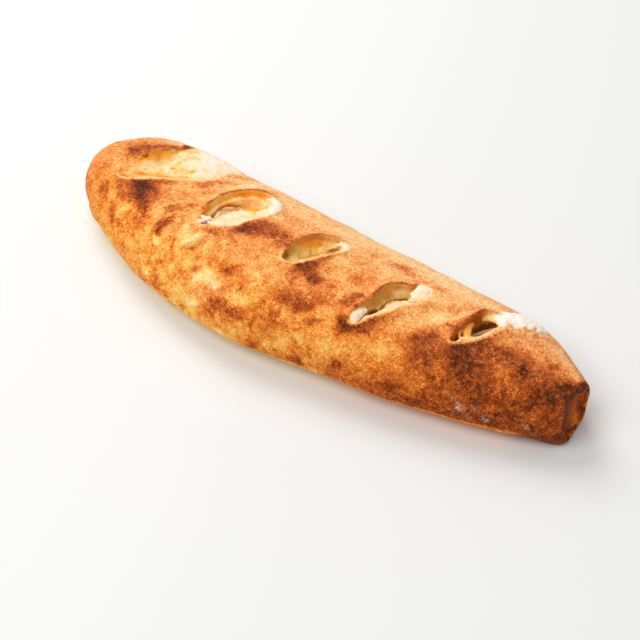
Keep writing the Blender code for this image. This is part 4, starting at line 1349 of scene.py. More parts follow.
    (-28.4, 17.2, 9.7, 7.7, -14, 0.36, 0.4),
    (-35.3, 75, 6.8, 3.8, -48, 0.3, 0.5),
    (100.1, 4.2, 10.4, 6.1, -39, 0.12, 0.85),
    (91.4, 15.6, 9.3, 5.1, -44, 0.28, 0.65),
    (83.4, 19.9, 5.8, 4.3, -27, 0.3, 0.5),
    (111.3, 11.5, 5.3, 4, 33, 0.26, 0.6),
    (98.6, -13.9, 12.2, 4.7, -1, 0.22, 0.5),
    (42.9, 49.3, 4.8, 3.9, 68, 0.34, 0.4),
    (56.1, 51.1, 4.4, 3, -23, 0.34, 0.4),
    (78.7, 48.4, 6.1, 3.6, -19, 0.38, 0.4),
    (-12.1, 78.9, 5.5, 0.6, 0, 0.34, 0.4),
    (-60.7, 65.9, 6.5, 3, -4, 0.26, 0.5),
    (-74.1, 60.6, 4.3, 2.1, -7, 0.3, 0.4),
    (180.8, -11, 5.7, 5.6, -83, 0.36, 0.6),
    (170.1, -18.7, 5.6, 5, 77, 0.4, 0.6),
    (188.2, -5.6, 3.8, 2.8, 88, 0.34, 0.6),
    (158, -12.2, 6.1, 3.6, -41, 0.46, 0.5),
    (147.6, 0.7, 6.9, 2.2, -30, 0.5, 0.4),
    (193, 27.6, 4, 2.7, -45, 0.6, 0.3),
    (107.4, -26.3, 15.4, 6.4, 9, 0.2, 0.7),
    (125.9, -26.3, 8, 5.2, 24, 0.24, 0.5),
    (91.7, -30.8, 13.2, 5.7, 9, 0.22, 0.5),
    (169.8, -16.2, 7.5, 5.9, 58, 0.3, 0.7),
    (178.7, -12.3, 6.1, 4.8, 62, 0.28, 0.65),
    (186.7, -8.8, 4.1, 3.2, 73, 0.32, 0.6),
    (64, -18, 15.2, 4.9, 1, 0.26, 0.4),
    (24.7, -23.1, 10.9, 4.3, 5, 0.26, 0.4),
    (90.5, -7.9, 9.3, 5.6, -22, 0.2, 0.55),
    (87.8, 6, 8.1, 3.1, -40, 0.24, 0.5),
    (119.4, 8.6, 4.5, 2.3, -30, 0.3, 0.0001),
    (-69.3, 78.2, 8.4, 4, -5, 0.3, 0.4),
    (-30.8, 74, 8.7, 5, -1, 0.34, 0.4),
    (-2.8, 69.3, 8, 4.5, -5, 0.32, 0.4),
)
FLOUR = (
    (139.1, 48.9, 6.4, 4.3, 78, 0.46),
    (144.1, 52.8, 4.4, 2.6, -74, 0.36),
    (134.0, 46.2, 3.1, 2.3, -42, 0.42),
    (147.4, 45.5, 6.2, 4.7, -68, 0.34),
    (154.2, 49.4, 5.4, 3.4, -67, 0.42),
    (176.5, 39.8, 5.5, 3.0, -53, 0.4),
    (182.3, 41.6, 5.2, 3.1, -53, 0.36),
    (-44.2, 66.0, 4.9, 3.7, -51, 0.5),
    (130.9, 23.5, 8.6, 7.8, 49, 0.22),
    (54.7, 23.5, 3.0, 2.9, 3, 0.3),
    (193.0, 27.6, 3.8, 2.4, -59, 0.25),
    (166.6, -7.0, 7.7, 4.6, -54, 0.15),
    (134.5, -19.7, 6.9, 5.1, 87, 0.5),
    (144.1, -21.9, 8.2, 7.6, -45, 0.42),
    (156.0, -24.1, 8.0, 4.5, 72, 0.42),
)


def vent_tone(k, p, h, m, u, v):
    """Tone of the dough in vent k, with painted shade deeper down, and how golden it is, both 0 to 1."""
    a, slot = m[:, 3], m[:, 5]
    depth = np.clip(-h, 0.0, 14.0)
    wall, gilt = (
        (0.30, 0.60), (0.16, 0.85), (0.34, 0.30), (0.36, 0.25), (0.36, 0.85)
    )[k]
    rim = np.exp(-((a / 2.4) ** 2))
    # Painted shade: darker the deeper below the skin and darkest down the slots, where there is also some stain.
    t = (0.25, 0.19, 0.24, 0.20, 0.18)[k] + (0.24, 0.12, 0.24, 0.24, 0.24)[k] * smooth(4.0, 9.0, depth) + 0.42 * slot * smooth(3.0, 7.0, depth)
    t = t + (wall + 0.14 - t) * rim
    g = gilt * np.exp(-((a / 3.0) ** 2))
    for which, cu, cv, ra, rb, turn, tone, gold, weight in TONES:
        if which == k:
            du, dv = ellipse(
                u + 0.5 * N3(p, 4.0), v + 0.5 * N4(p, 4.0), cu, cv, ra, rb, turn
            )
            s = weight * np.exp(-((du * du + dv * dv) ** 1.5))
            t = t + s * (tone - t)
            g = g + s * (gold - g)
    t = t + 0.05 * N3.rough(p, 5.0, 3, 0.7) + 0.03 * N5(p, 1.8) + 0.06 * N2.rough(p, 11.0, 2)
    if k == 0:
        blots = N1.rough(p + 40.0, 8.0, 3, 0.7)
        t = t + 0.11 * blots
        g = g + 0.18 * smooth(0.05, 0.45, blots)
    g = g + 0.10 * N4.rough(p, 4.0, 2)
    return np.clip(t, 0.02, 1.0), np.clip(g, 0.0, 1.0)


def paint_crust(obj):
    p = positions(obj)
    x, y, z = p[:, 0], p[:, 1], p[:, 2]
    h = skin(x, y, z)
    w = unroll(x, y, z)
    raised = skin_features(x, w)
    warp = np.stack([N1.rough(p, 9.0, 3, 0.6), N2.rough(p, 9.0, 3, 0.6)], axis=1)
    wx, ww = x + 2.6 * warp[:, 0], w + 2.6 * warp[:, 1]
    # The overall bake: paler over the back, a painted sheen where the light from behind grazes it; darker towards the
    # folded end, where it is baked darker and partly painted shade.
    right = smooth(70.0, 125.0, x + 0.35 * w)
    bake = 0.385 + 0.335 * right
    bake = bake - 0.17 * smooth(-8.0, -42.0, w) - 0.21 * right * smooth(12.0, -14.0, w)
    bake = bake + 0.05 * smooth(110.0, 150.0, x) * smooth(16.0, 40.0, w)
    bake = bake + 0.10 * smooth(-150.0, -190.0, x)
    bake = bake + 0.03 * smooth(-80.0, 0.0, x) + 0.05 * smooth(-70.0, -50.0, x) * smooth(25.0, 0.0, x) * smooth(-12.0, -30.0, w)
    back = smooth(-48.0, -66.0, w)
    bake = bake + back * (0.06 + 0.16 * N3(p, 24.0))
    bake = bake + 0.10 * N4.rough(p, 15.0, 3) + 0.07 * N5.rough(p, 5.5, 3, 0.7)
    bake = bake + 0.14 * smooth(0.0, 30.0, w) * N2.rough(p + 60.0, 9.0, 3, 0.65)
    lively = smooth(-110.0, -85.0, x) * smooth(70.0, 30.0, x) * smooth(4.0, 26.0, w)
    lively = lively * (1.0 + 0.6 * smooth(44.0, 58.0, w))
    bake = bake + lively * (0.25 * N3.rough(p + 20.0, 4.4, 3, 0.8) + 0.21 * N1.rough(p + 50.0, 10.0, 2) + 0.10 * N4(p + 70.0, 21.0))
    # Painted shade in the hollows of the folds and painted light along their crests.
    bake = bake - 0.17 * np.clip(raised, -1.5, 1.2)
    frayed = 1.0 + 0.55 * N4.rough(p + 11.0, 4.6, 4, 0.75)
    for cx, cw, ra, rb, turn, target, weight in PATCHES:
        box = np.flatnonzero((np.abs(x - cx) < 2.2 * ra + 6) & (np.abs(w - cw) < 2.2 * ra + 6))
        if not len(box):
            continue
        u, v = ellipse(wx[box], ww[box], cx, cw, 1.14 * ra, 1.14 * rb, turn)
        r = u * u + v * v
        s = weight * np.exp(-(r**1.35)) * frayed[box]
        s = np.minimum(s, 0.98)
        bake[box] += s * (target + 0.10 * (target - 0.46) - bake[box])
    # The sides that are hidden in the photo get patches of the same kind.
    hidden = np.maximum(smooth(-46.0, -56.0, w), smooth(78.0, 86.0, w))
    blot = smooth(0.16, 0.42, N1.rough(p + 300.0, 19.0, 3, 0.6))
    bake = bake + hidden * blot * 0.24
    flour = np.zeros(len(p))
    for cx, cw, ra, rb, turn, weight in FLOUR:
        u, v = ellipse(wx, ww, cx, cw, ra, rb, turn)
        flour = np.maximum(flour, weight * np.exp(-((u * u + v * v) ** 1.1)))
    # The underside is evenly browned, with paler rings and flour.
    under = smooth(3.0, 0.9, z) * smooth(1.0, -1.0, h + 1.5)
    mott = N2.rough(p + 80.0, 16.0, 4, 0.6)
    bake = bake * (1 - under) + under * (0.62 + 0.20 * mott + 0.08 * N5(p, 3.0))
    flour = np.maximum(flour, under * 0.45 * smooth(0.1, 0.5, N3.rough(p, 11.0, 3)))
    # A pale line along the foot of the loaf.
    foot = smooth(14.2, 11.2, z + 1.0 * N3(p, 14.0) + 0.5 * N5(p, 4.0)) * (1 - under)
    foot = foot * (0.90 - 0.40 * smooth(-10.0, 80.0, x)) * smooth(182.0, 160.0, x)
    bake = bake + foot * smooth(5.0, 3.0, np.abs(h)) * (0.08 - bake)
    # Painted sheen: paler over the back, where the light from behind grazes it; deeper and warmer low on the front.
    sheen_and_warmth = 0.5 + 0.5 * smooth(0.0, -30.0, w) - 0.5 * smooth(9.0, 44.0, w)
    sheen_and_warmth = sheen_and_warmth + 0.30 * smooth(30.0, 8.0, np.abs(w)) * smooth(100.0, 130.0, x)
    sheen_and_warmth = sheen_and_warmth + 0.5 * np.exp(-(((x + 36.0) / 17.0) ** 2) - ((w - 51.0) / 10.0) ** 2)

    inner = np.zeros(len(p))
    tone = np.full(len(p), 0.3)
    gold = np.zeros(len(p))
    for k, vent in enumerate(VENT_MAPS):
        sel = np.flatnonzero((z > 18.0) & (h > -24.0) & vent.near(x, y))
        m = vent.sample(x[sel], y[sel], h[sel])
        out, share = m[:, 1], m[:, 2]
        u, v = vent.local(x[sel], y[sel])
        fray = 0.8 * N4.rough(p[sel], 3.2, 2)
        far = smooth(0.45, 0.6, share)
        sunk = smooth(0.2, -0.6, out) * (1 - far) + smooth(0.3, -0.9, out + 0.4 * fray) * far
        if k == 0:
            # Its left end opens gradually out of golden crust.
            left = smooth(-26.0, -31.0, u) * smooth(0.6, -1.6, out)
            warm = 0.36 + 0.24 * N2.rough(p[sel], 6.0, 3, 0.7) + 0.20 * smooth(3.0, 0.8, m[:, 4])
            bake[sel] += left * (warm - bake[sel])
            sunk = sunk * smooth(-37.0, -26.0, u + 3.0 * N3.rough(p[sel], 7.0, 2))
        inner[sel] = np.maximum(inner[sel], sunk)
        # Brown thin rim on the upper lip, orange crust behind the lower lip.
        at, wide = ((0.8, 1.2), (1.2, 1.6), (0.8, 1.3), (0.9, 1.4), (0.9, 1.4))[k]
        edge = np.exp(-(((out - at) / wide) ** 2)) * far
        ends = smooth(vent.half + 1.0, vent.half - 8.0, np.abs(u))
        if k == 0:
            ends = ends * smooth(-30.0, -22.0, u) * smooth(8.0, 1.0, u)
        if k == 4:
            ends = ends * smooth(3.5, -1.5, u) * (0.35 + 0.65 * smooth(-22.0, -14.0, u))
        level = (0.85, 0.79, 0.75, 0.80, 0.86)[k]
        bake[sel] += (edge * ends * (0.88 + 0.3 * N4(p[sel], 7.0))).clip(0, 1) * (level - bake[sel])
        lower = np.exp(-(((out - 0.4) / 0.9) ** 2)) * (1 - far)
        pale_edge = (0.12, 0.24, 0.20, 0.22, 0.26)[k]
        bake[sel] += 0.82 * lower * (pale_edge + 0.12 * N4(p[sel], 5.0) - bake[sel])
        t, g = vent_tone(k, p[sel], h[sel], m, u, v)
        tone[sel] = np.where(out < 0.8, t, tone[sel])
        gold[sel] = np.where(out < 0.8, g, gold[sel])
    # Anything far below the skin is plain dough.
    deep = smooth(-2.2, -3.4, h) * (z > 4.0)
    inner = np.maximum(inner, deep)
    pale = np.full(len(p), 1e3)
    near = np.flatnonzero((np.abs(h) < 12.0) & (z > 18.0))
    pale[near] = torn_dough(p[near], h[near], STRANDS)
    strands = smooth(1.3, 0.2, pale + 0.5 * N4(p, 2.6))
    inner = np.maximum(inner, strands)
    shade = np.full(len(p), 0.14)
    floury = np.zeros(len(p))
    web = np.zeros(len(p))
    for line in STRANDS:
        d = torn_dough(p[near], h[near], (line,))
        s = smooth(1.2, 0.0, d)
        web[near] = np.maximum(web[near], s * (line[2] == 0.0))
        shade[near] += s * (line[3] - shade[near])
        halo = 0.0 if line[2] < 0.9 else 0.62 * smooth(6.0, 0.0, d + 1.8 * N4.rough(p[near], 4.0, 3, 0.7)) * smooth(-1.6, -0.4, h[near])
        floury[near] = np.maximum(floury[near], np.maximum(line[2] * s, halo))
    shade = shade + 0.06 * N4.rough(p, 4.0, 3, 0.7)
    tone = tone * (1 - strands) + shade * strands
    gilded = 0.35 * smooth(0.0, 0.5, N3.rough(p + 9.0, 7.0, 3)) + 0.5 * web
    gold = gold * (1 - strands) + strands * gilded
    crumb = np.full(len(p), 1e3)
    crumb[near] = torn_dough(p[near], h[near], CRUMBS)
    golden = smooth(1.7, 0.0, crumb + 0.5 * N4(p, 2.4))
    bake = bake + golden * (0.37 + 0.24 * N5(p, 2.6) - bake)
    inner = inner * (1 - golden)
    floury = floury * (1 - 0.85 * golden)
    flour = np.maximum(flour, 0.75 * floury)
    # The folded end: brown inner folds with painted shade under the flap's edge, in the pocket and in the gap behind
    # the near edge, a painted highlight along the flap's edge, a burnt lip above and a dark rim.
    inner = inner * (1 - smooth(178.0, 184.0, x))
    t = tuck(p, h)
    recess = smooth(0.9, 0.25, t) * (x > 182.0)
    fold = end_fold(y, z)
    face = 0.56 + 0.06 * N4(p, 5.0) + 0.12 * smooth(4.0, 9.0, y)
    # Painted shadow below the flap's edge; by the near edge a burnt colour with painted shade in the gap behind it.
    face = face + 0.24 * np.exp(-(((fold + 1.4) / 1.3) ** 2)) + 0.45 * smooth(-6.3, -8.0, y)
    # Painted shade in the pocket at the top of the near edge.
    face = face + 0.30 * np.exp(-(((y + 5.6) / 2.6) ** 2 + ((z - 32.5) / 4.0) ** 2))
    flap = 0.57 + 0.05 * N4(p, 4.0) + 0.16 * smooth(4.0, 8.5, y)
    # A painted highlight along the flap's lower edge.
    flap = flap - 0.26 * np.exp(-(((fold - 0.5) / 0.7) ** 2))
    face = face + (flap - face) * smooth(-0.5, 0.5, fold)
    bake = bake + recess * (face - bake)
    rim = smooth(2.1, 1.2, t) * (1 - recess) * (x > 186.0)
    top = smooth(28.0, 34.0, z)
    bake = bake + rim * (0.96 - bake) * (0.72 + 0.28 * top)
    # It burns on the top just before the lip.
    burnt = smooth(-7.0, -1.0, x - end_plane(y, z)) * smooth(-16.0, -7.0, y)
    burnt = burnt * smooth(31.0, 35.0, z) * (1 - recess)
    bake = bake + 0.75 * burnt * (0.95 - bake)
    give(obj, "bake", bake)
    give(obj, "flour", flour)
    give(obj, "inner", inner)
    give(obj, "tone", tone)
    give(obj, "gold", gold)
    sheen_and_warmth = sheen_and_warmth * (1 - recess) * (1 - smooth(120.0, 170.0, x) * smooth(6.0, 20.0, w))
    give(obj, "sheen_and_warmth", sheen_and_warmth)
    give(obj, "plain", recess)


def paint_filling(obj):
    p = positions(obj)
    x, y, z = p[:, 0], p[:, 1], p[:, 2]
    h = skin(x, y, z)
    tone = np.full(len(p), 0.25)
    gold = np.zeros(len(p))
    for k, vent in enumerate(VENT_MAPS):
        sel = np.flatnonzero((z > 18.0) & (h > -24.0) & vent.near(x, y))
        m = vent.sample(x[sel], y[sel], h[sel])
        u, v = vent.local(x[sel], y[sel])
        t, g = vent_tone(k, p[sel], h[sel], m, u, v)
        inside_it = m[:, 1] < 2.0
        tone[sel] = np.where(inside_it, t, tone[sel])
        gold[sel] = np.where(inside_it, g, gold[sel])
    give(obj, "tone", tone)
    give(obj, "gold", gold)


# ----------------------------------------------------------------- materials
def linear(r, g, b):
    return tuple(
        (c / 255.0 / 12.92) if c <= 10 else ((c / 255.0 + 0.055) / 1.055) ** 2.4
        for c in (r, g, b)
    ) + (1.0,)


class Graph:
    """A short way to write shader nodes."""

    def __init__(self, name):
        self.material = bpy.data.materials.new(name)
        self.material.use_nodes = True
        self.tree = self.material.node_tree
        self.nodes = self.tree.nodes
        self.shader = self.nodes["Principled BSDF"]
        self.where = self.node("ShaderNodeTexCoord").outputs["Object"]

    def node(self, kind, **settings):
        made = self.nodes.new(kind)
        for key, value in settings.items():
            setattr(made, key, value)
        return made

    def put(self, socket, value):
        if isinstance(value, bpy.types.NodeSocket):
            self.tree.links.new(value, socket)
        else:
            socket.default_value = value

    def attribute(self, name):
        return self.node("ShaderNodeAttribute", attribute_name=name).outputs["Fac"]

    def noise(self, size, detail=2.0, rough=0.5, warp=0.0, vector=None, lacunarity=2.0):
        made = self.node("ShaderNodeTexNoise")
        self.put(made.inputs["Vector"], vector or self.where)
        made.inputs["Scale"].default_value = 1000.0 / size
        made.inputs["Detail"].default_value = detail
        made.inputs["Roughness"].default_value = rough
        made.inputs["Lacunarity"].default_value = lacunarity
        made.inputs["Distortion"].default_value = warp
        return made.outputs["Fac"]

    def cells(self, size, feature="F1", smoothness=0.4, vector=None, output="Distance"):
        made = self.node("ShaderNodeTexVoronoi", feature=feature)
        self.put(made.inputs["Vector"], vector or self.where)
        made.inputs["Scale"].default_value = 1000.0 / size
        if feature == "SMOOTH_F1":
            made.inputs["Smoothness"].default_value = smoothness
        return made.outputs[output]

    def math(self, operation, a, b=0.0, c=0.0, clamp=False):
        made = self.node("ShaderNodeMath", operation=operation, use_clamp=clamp)
        for socket, value in zip(made.inputs, (a, b, c)):
            self.put(socket, value)
        return made.outputs[0]

    def add(self, a, b):
        return self.math("ADD", a, b)

    def times(self, a, b):
        return self.math("MULTIPLY", a, b)

    def fit(self, value, a, b, c=0.0, d=1.0, smooth_step=False):
        made = self.node("ShaderNodeMapRange", clamp=True)
        if smooth_step:
            made.interpolation_type = "SMOOTHSTEP"
        for socket, v in zip(made.inputs, (value, a, b, c, d)):
            self.put(socket, v)
        return made.outputs[0]

    def ramp(self, value, stops):
        made = self.node("ShaderNodeValToRGB")
        self.put(made.inputs[0], value)
        elements = made.color_ramp.elements
        while len(elements) < len(stops):
            elements.new(0.5)
        for element, (at, colour) in zip(elements, stops):
            element.position = at
            element.color = linear(*colour)
        return made.outputs[0]

    def scaled(self, colour, factor):
        made = self.node("ShaderNodeVectorMath", operation="SCALE")
        self.put(made.inputs[0], colour)
        self.put(made.inputs["Scale"], factor)
        return made.outputs[0]

    def graded(self, colour, factor, powers):
        """Lighter or darker, with a power of its own for each channel."""
        made = self.node("ShaderNodeCombineXYZ")
        for socket, power in zip(made.inputs, powers):
            self.put(socket, self.math("POWER", factor, power))
        out = self.node("ShaderNodeVectorMath", operation="MULTIPLY")
        self.put(out.inputs[0], colour)
        self.put(out.inputs[1], made.outputs[0])
        return out.outputs[0]

    def mix(self, factor, a, b, blend="MIX"):
        made = self.node("ShaderNodeMix", data_type="RGBA", blend_type=blend)
        self.put(made.inputs[0], factor)
        for socket, value in ((made.inputs[6], a), (made.inputs[7], b)):
            self.put(socket, value)
        return made.outputs[2]

    def bump(self, height, strength, distance_mm, normal=None):
        made = self.node("ShaderNodeBump")
        made.inputs["Strength"].default_value = strength
        made.inputs["Distance"].default_value = distance_mm * MM
        self.put(made.inputs["Height"], height)
        if normal:
            self.put(made.inputs["Normal"], normal)
        return made.outputs[0]


BAKE_STOPS = (
    (0.00, (255, 236, 196)),
    (0.14, (252, 212, 146)),
    (0.30, (252, 185, 112)),
    (0.45, (244, 155, 80)),
    (0.58, (221, 123, 59)),
    (0.70, (187, 94, 42)),
    (0.82, (149, 69, 30)),
    (0.92, (113, 51, 22)),
    (1.00, (78, 37, 16)),
)
DOUGH_STOPS = (
    (0.00, (255, 238, 222)),
    (0.14, (252, 221, 182)),
    (0.30, (240, 194, 120)),
    (0.48, (206, 157, 68)),
    (0.65, (164, 113, 38)),
    (0.82, (112, 72, 27)),
    (1.00, (60, 38, 16)),
)
GOLD_STOPS = (
    (0.00, (255, 232, 160)),
    (0.20, (254, 184, 62)),
    (0.38, (240, 138, 24)),
    (0.55, (202, 102, 18)),
    (0.75, (148, 72, 20)),
    (1.00, (84, 42, 18)),
)


def dough_look(g, tone, gold):
    """Colour of dough or cheese inside the vents."""
    soft = g.noise(3.4, 4.0, 0.62, 0.5)
    fine = g.noise(1.1, 2.0, 0.55)
    level = g.add(tone, g.times(g.add(soft, -0.5), 0.30))
    level = g.add(level, g.times(g.add(fine, -0.5), 0.12))
    plain = g.ramp(level, DOUGH_STOPS)
    gilt = g.ramp(level, GOLD_STOPS)
    share = g.add(gold, g.times(g.add(g.noise(2.3, 3.0, 0.6), -0.5), 0.35))
    return g.mix(g.fit(share, 0.10, 0.75), plain, gilt), soft, fine


def crust_material():
    g = Graph("baked crust")
    bake, flour = g.attribute("bake"), g.attribute("flour")
    inner, tone, gold = g.attribute("inner"), g.attribute("tone"), g.attribute("gold")
    grain = g.noise(0.80, 2.0, 0.65)
    pebble = g.noise(2.5, 2.0, 0.60)
    mottle = g.noise(5.5, 3.0, 0.62, 0.6)
    calm = g.fit(g.noise(12.0, 2.0, 0.5), 0.35, 0.65, 0.55, 1.25)
    # The folds inside the end are smooth.
    lively = g.fit(g.attribute("plain"), 0.0, 1.0, 1.0, 0.35)
    calm = g.times(calm, lively)
    # The bake, broken up by the grain.
    stipple = g.times(g.fit(bake, 0.45, 0.78, 0.50, 0.56), calm)
    level = g.add(bake, g.times(g.add(grain, -0.5), stipple))
    sheen_and_warmth = g.attribute("sheen_and_warmth")
    level = g.add(level, g.times(g.add(pebble, -0.5), g.times(calm, 0.58)))
    level = g.add(level, g.times(g.add(mottle, -0.5), 0.50))
    skin_colour = g.ramp(level, BAKE_STOPS)
    # Low on the front the colour is deeper; over the back a painted sheen makes it paler.
    skin_colour = g.mix(g.fit(sheen_and_warmth, 0.5, 0.0, 0.0, 1.0), skin_colour, g.mix(1.0, skin_colour, (1.0, 0.92, 0.56, 1.0), "MULTIPLY"))
    skin_colour = g.mix(g.times(g.fit(sheen_and_warmth, 0.5, 1.0, 0.0, 0.17), g.fit(bake, 0.30, 0.68, 1.0, 0.0)), skin_colour, linear(252, 226, 192))
    # Painted highlights: tiny blisters are painted paler than the skin round them, as if they catch the light.
    blister_and_highlight = g.fit(g.cells(1.75, "SMOOTH_F1", 0.22), 0.10, 0.56, 1.0, 0.0)
    blister_and_highlight = g.times(blister_and_highlight, g.fit(g.noise(4.4, 2.0, 0.6, vector=shifted(g, 7.0)), 0.36, 0.62, 0.25, 1.0))
    # Painted light and shade: sandy grains are painted lighter or darker, as if they catch or lose the light.
    grain_light = g.noise(0.95, 1.0, 0.5, vector=shifted(g, 3.0))
    value = g.add(g.times(g.add(grain_light, -0.5), 1.30), g.times(g.add(blister_and_highlight, -0.38), 0.42))
    value = g.add(1.0, g.times(value, g.times(lively, g.fit(bake, 0.12, 0.42, 0.25, 1.0))))
    skin_colour = g.graded(skin_colour, g.math("MAXIMUM", value, 0.5), (0.80, 1.25, 2.1))
    # Painted glints on the tops of the blisters.
    blister_glint = g.times(g.times(blister_and_highlight, blister_and_highlight), g.fit(grain_light, 0.44, 0.66))
    skin_colour = g.mix(g.times(blister_glint, g.fit(bake, 0.2, 0.7, 0.16, 0.24)), skin_colour, linear(250, 206, 156))
    # Pale dough at the cuts.
    dough_colour, soft, fine = dough_look(g, tone, gold)
    colour = g.mix(inner, skin_colour, dough_colour)
    # Flour lies in patches and specks.
    dust = g.add(flour, g.times(g.add(g.noise(1.6, 4.0, 0.7), -0.5), 1.15))
    dusted = g.fit(dust, 0.34, 0.78)
    dusted = g.times(dusted, g.fit(flour, 0.02, 0.20))
    colour = g.mix(g.times(dusted, 0.86), colour, linear(250, 240, 225))
    g.put(g.shader.inputs["Base Color"], colour)
    rough = g.fit(level, 0.2, 0.95, 0.70, 0.55)
    rough = g.add(rough, g.times(g.add(pebble, -0.5), 0.16))
    rough = g.math("MAXIMUM", rough, g.times(dusted, 0.85))
    g.put(g.shader.inputs["Roughness"], rough)
    g.shader.inputs["Specular IOR Level"].default_value = 0.06
    # Grain, blisters and pebbling, softer on the torn dough.
    hard = g.math("SUBTRACT", 1.0, g.times(inner, 0.7))
    height = g.add(g.times(grain, 0.45), g.times(pebble, 0.75))
    height = g.add(height, g.times(blister_and_highlight, 0.55))
    height = g.add(height, g.times(dusted, 0.25))
    height = g.times(height, hard)
    height = g.add(height, g.times(g.add(g.times(soft, 1.2), g.times(fine, 0.35)), inner))
    g.put(g.shader.inputs["Normal"], g.bump(height, 0.85, 0.42))
    return g.material


def shifted(g, amount):
    made = g.node("ShaderNodeVectorMath", operation="ADD")
    g.put(made.inputs[0], g.where)
    made.inputs[1].default_value = (amount, 1.7 * amount, 0.6 * amount)
    return made.outputs[0]


def filling_material():
    g = Graph("cheese filling")
    tone, gold = g.attribute("tone"), g.attribute("gold")
    colour, soft, fine = dough_look(g, tone, gold)
    g.put(g.shader.inputs["Base Color"], colour)
    g.put(g.shader.inputs["Roughness"], g.fit(gold, 0.1, 0.7, 0.42, 0.24))
    g.shader.inputs["Specular IOR Level"].default_value = 0.35
    height = g.add(g.times(soft, 1.0), g.times(fine, 0.25))
    g.put(g.shader.inputs["Normal"], g.bump(height, 0.6, 0.5))
    return g.material


def floor_material():
    g = Graph("pale floor")
    tint = g.noise(900.0, 2.0, 0.4)
    g.put(
        g.shader.inputs["Base Color"],
        g.mix(tint, linear(229, 229, 228), linear(232, 232, 231)),
    )
    g.shader.inputs["Roughness"].default_value = 0.75
    g.shader.inputs["Specular IOR Level"].default_value = 0.2
    return g.material


# --------------------------------------------------------------------- build
LOW = (-200.0, -70.0, -3.0)
HIGH = (203.0, 72.0, 60.0)


def vent_zone(p):
    """Where vents are, the field isn't a distance, so all of it is sampled."""
    h = skin(p[:, 0], p[:, 1], p[:, 2])
    found = np.zeros(len(p), bool)
    near = (h > -17.0) & (h < 8.0) & (p[:, 2] > 20.0)
    for vent in VENT_MAPS:
        sel = np.flatnonzero(near)
        sel = sel[vent.near(p[sel, 0], p[sel, 1])]
        out = vent.sample(p[sel, 0], p[sel, 1])[:, 1]
        found[sel] |= out < 7.0
    found |= (p[:, 0] > 184.0) & (h < 4.0)
    return found


def build_crust():
    vertices, quads = surface_mesh(crust_field, LOW, HIGH, VOXEL, vent_zone, "crust")
    obj = mesh_object("Loaf_crust", vertices, quads)
    h = skin(*vertices.T)
    keep = smooth(-4.6, -2.0, h) * smooth(0.4, 2.0, vertices[:, 2])
    for vent in VENT_MAPS:
        near = vent.near(vertices[:, 0], vertices[:, 1])
        sel = np.flatnonzero(near & (vertices[:, 2] > 20.0) & (h > -15.0))
        out = vent.sample(vertices[sel, 0], vertices[sel, 1])[:, 1]
        keep[sel] = np.maximum(keep[sel], smooth(3.0, 0.5, out))
    keep = np.maximum(keep, smooth(184.0, 188.0, vertices[:, 0]) * 0.8)
    thin_out(obj, keep, CRUST_TRIANGLES)
    mend(obj, crust_field, vertices)
    return obj


def build_filling():
    vertices, quads = surface_mesh(
        filling_field, (-184.0, -60.0, 3.0), (182.0, 62.0, 56.0), FILL_VOXEL, vent_zone, "filling"
    )
    obj = mesh_object("Loaf_filling", vertices, quads)
    h = skin(*vertices.T)
    keep = np.zeros(len(vertices))
    for vent in VENT_MAPS:
        near = vent.near(vertices[:, 0], vertices[:, 1])
        sel = np.flatnonzero(near & (vertices[:, 2] > 20.0) & (h > -15.0))
        out = vent.sample(vertices[sel, 0], vertices[sel, 1])[:, 1]
        keep[sel] = np.maximum(keep[sel], smooth(2.0, 0.0, out))
    thin_out(obj, keep, FILLING_TRIANGLES)
    mend(obj, filling_field, vertices)
    return obj


def look_at(eye, target, roll=0.0):
    eye, target = np.array(eye, float), np.array(target, float)
    back = eye - target
    back /= np.linalg.norm(back)
    right = np.cross((0.0, 0.0, 1.0), back)
    right /= np.linalg.norm(right)
    up = np.cross(back, right)
    m = Matrix.Identity(4)
    for i in range(3):
        m[i][0], m[i][1], m[i][2], m[i][3] = right[i], up[i], back[i], eye[i]
    return m


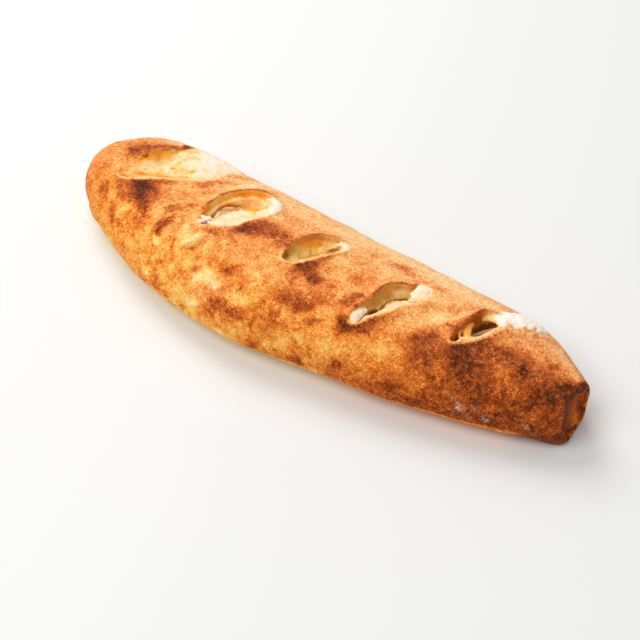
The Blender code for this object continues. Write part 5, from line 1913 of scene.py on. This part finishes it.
def area_light(name, eye, target, size, power, colour=(1.0, 1.0, 1.0), size_y=None):
    data = bpy.data.lights.new(name, "AREA")
    data.shape = "RECTANGLE"
    data.size, data.size_y = size, size_y or size
    data.energy = power
    data.color = colour
    obj = bpy.data.objects.new(name, data)
    obj.matrix_world = look_at(eye, target)
    bpy.context.scene.collection.objects.link(obj)
    return obj


def set_stage():
    bpy.ops.mesh.primitive_plane_add(size=6.0, location=(0.0, 0.0, -0.0004))
    floor = bpy.context.object
    floor.name = "Floor"
    floor.data.materials.append(floor_material())

    world = bpy.data.worlds.new("Studio")
    bpy.context.scene.world = world
    world.use_nodes = True
    background = world.node_tree.nodes["Background"]
    background.inputs["Color"].default_value = (1.0, 1.0, 1.0, 1.0)
    background.inputs["Strength"].default_value = 0.47

    # Soft light from the round end: the key from behind, a fill from the front.
    area_light("Key", (-1.25, 0.80, 1.70), (0.0, 0.0, 0.0), 1.3, 27.0)
    area_light("Fill", (-0.62, -1.13, 1.85), (0.0, 0.0, 0.0), 1.2, 23.0)

    camera = bpy.data.cameras.new("Camera")
    camera.lens = 63.44
    camera.sensor_width = 36.0
    camera.sensor_fit = "HORIZONTAL"
    camera.clip_start, camera.clip_end = 0.05, 20.0
    obj = bpy.data.objects.new("Camera", camera)
    right = (0.8204629, 0.57126724, -0.0222344)
    up = (-0.40181762, 0.6038891, 0.6883753)
    ahead = (-0.40667336, 0.55585222, -0.72501385)
    eye = (0.31808267, -0.41765590, 0.53380000)
    m = Matrix.Identity(4)
    for i in range(3):
        m[i][0], m[i][1], m[i][2], m[i][3] = right[i], up[i], -ahead[i], eye[i]
    obj.matrix_world = m
    bpy.context.scene.collection.objects.link(obj)
    bpy.context.scene.camera = obj
    bpy.context.scene.view_settings.view_transform = "Standard"


def main():
    crust = build_crust()
    paint_crust(crust)
    crust.data.materials.append(crust_material())
    filling = build_filling()
    paint_filling(filling)
    filling.data.materials.append(filling_material())
    for obj, node in ((crust, "crust"), (filling, "filling")):
        obj.data.polygons.foreach_set(
            "use_smooth", np.ones(len(obj.data.polygons), bool)
        )
        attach(obj, "root")
        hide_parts(node)
        print(obj.name, len(obj.data.vertices), "vertices", len(obj.data.polygons), "faces", flush=True)
    set_stage()
    print(f"built in {time.perf_counter() - STARTED:.0f} s", flush=True)


main()
